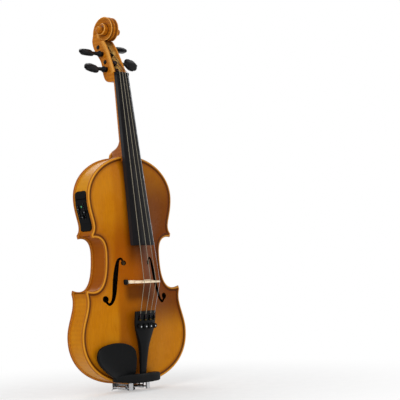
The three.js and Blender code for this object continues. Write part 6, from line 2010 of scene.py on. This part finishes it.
pale_floor = finish("pale_floor", floor_fill)
make = maker(pale_floor.node_tree)
output = next(node for node in pale_floor.node_tree.nodes if node.type == "OUTPUT_MATERIAL")
surface = output.inputs["Surface"]
shaded = surface.links[0].from_socket
x, y, _ = axes_of(make, make("TexCoord").outputs["Object"])
far = math(make, "SQRT", math(make, "ADD", times(make, x, x), times(make, y, y)))
share = times(make, seen_white(make), ramp(make, far, 0.1, 0.6, 0.4, 1.0))
plain_white = (1.0, 1.0, 1.0, 1.0)
glow = make("Emission", {"Color": plain_white, "Strength": 1.0}).outputs[0]
pale_floor.node_tree.links.new(make("MixShader", {0: share, 1: shaded, 2: glow}).outputs[0], surface)
floor_half, floor_rise = 30.0, -0.0112
floor_mesh = bpy.data.meshes.new("floor")
floor_signs = (-1, -1), (1, -1), (1, 1), (-1, 1)
floor_mesh.from_pydata([(a * floor_half, b * floor_half, floor_rise) for a, b in floor_signs], [],
                       [(0, 1, 2, 3)])
floor_mesh.materials.append(pale_floor)
floor = placed("floor", floor_mesh)
print("floor laid")

# %% [markdown]
# ## Camera
# The camera was fitted to known points, such as the corners, the nut and the eyes of the f-holes. It stands
# low, to the left, with a long lens and a slight roll. Its turn is written as three directions, right, up
# and back, which are easier to check than Euler angles.

# %% Camera
camera_data = bpy.data.cameras.new("camera")
camera_data.sensor_width = 36.0
camera_data.lens = 1139.8 / 400 * camera_data.sensor_width  # focal length and picture width in pixels
camera = placed("camera", camera_data)
azimuth, roll = radians(-44.10), radians(-2.64)
camera_spot, back_way = (-1.1495, -1.3589, 0.1647), np.array([-0.69449, -0.71666, -0.06384])
level = np.array([cos(azimuth), sin(azimuth), 0])
upright = np.cross(back_way, level)
right_way, up_way = level * cos(roll) + upright * sin(roll), upright * cos(roll) - level * sin(roll)
rows = [[*row, spot] for row, spot in zip(np.c_[right_way, up_way, back_way], camera_spot)]
camera.matrix_world = Matrix([*rows, [0, 0, 0, 1]])
bpy.context.scene.camera = camera
print("camera lens:", round(camera_data.lens, 1), "mm")

# %% [markdown]
# ## World and lamps
# A studio has soft light from large panels. An even pale world fills the shadows, and three area lamps give
# direction: the brightest from the left, a weak one from the right, and one from behind for the rims. Small
# spot lamps would leave hard shadows. The white background shows only to the camera and in reflections, so
# it adds hardly any light.

# %% World and lamps
world = bpy.data.worlds.new("studio")
bpy.context.scene.world = world
world.use_nodes = True
world.node_tree.nodes.clear()
make = maker(world.node_tree)
soft = make("Background", {"Color": plain_white, "Strength": 0.55}).outputs[0]
white = make("Background", {"Color": plain_white, "Strength": 1.0}).outputs[0]
make("OutputWorld", {"Surface": make("MixShader", {0: seen_white(make), 1: soft, 2: white}).outputs[0]})
bpy.context.scene.view_settings.view_transform = "Standard"


def lamp_at(name, place, target, size, watts):
    """Area lamp at a place, turned to a target, with its width, height and power"""
    data = bpy.data.lights.new(name, "AREA")
    data.shape, data.energy = "RECTANGLE", watts
    data.size, data.size_y = size
    lamp = placed(name, data)
    lamp.location = place
    lamp.rotation_euler = (Vector(target) - Vector(place)).to_track_quat("-Z", "Y").to_euler()


lamp_at("key_left", (-1.9, -1.2, 1.5), (0, 0, 0.28), (1.1, 1.6), 26)
lamp_at("fill_right", (1.2, -2.0, 0.9), (0, 0, 0.28), (1.0, 1.4), 8)
lamp_at("top_back", (0.6, 1.6, 1.9), (0, 0, 0.3), (1.2, 1.2), 14)
print("stage set")
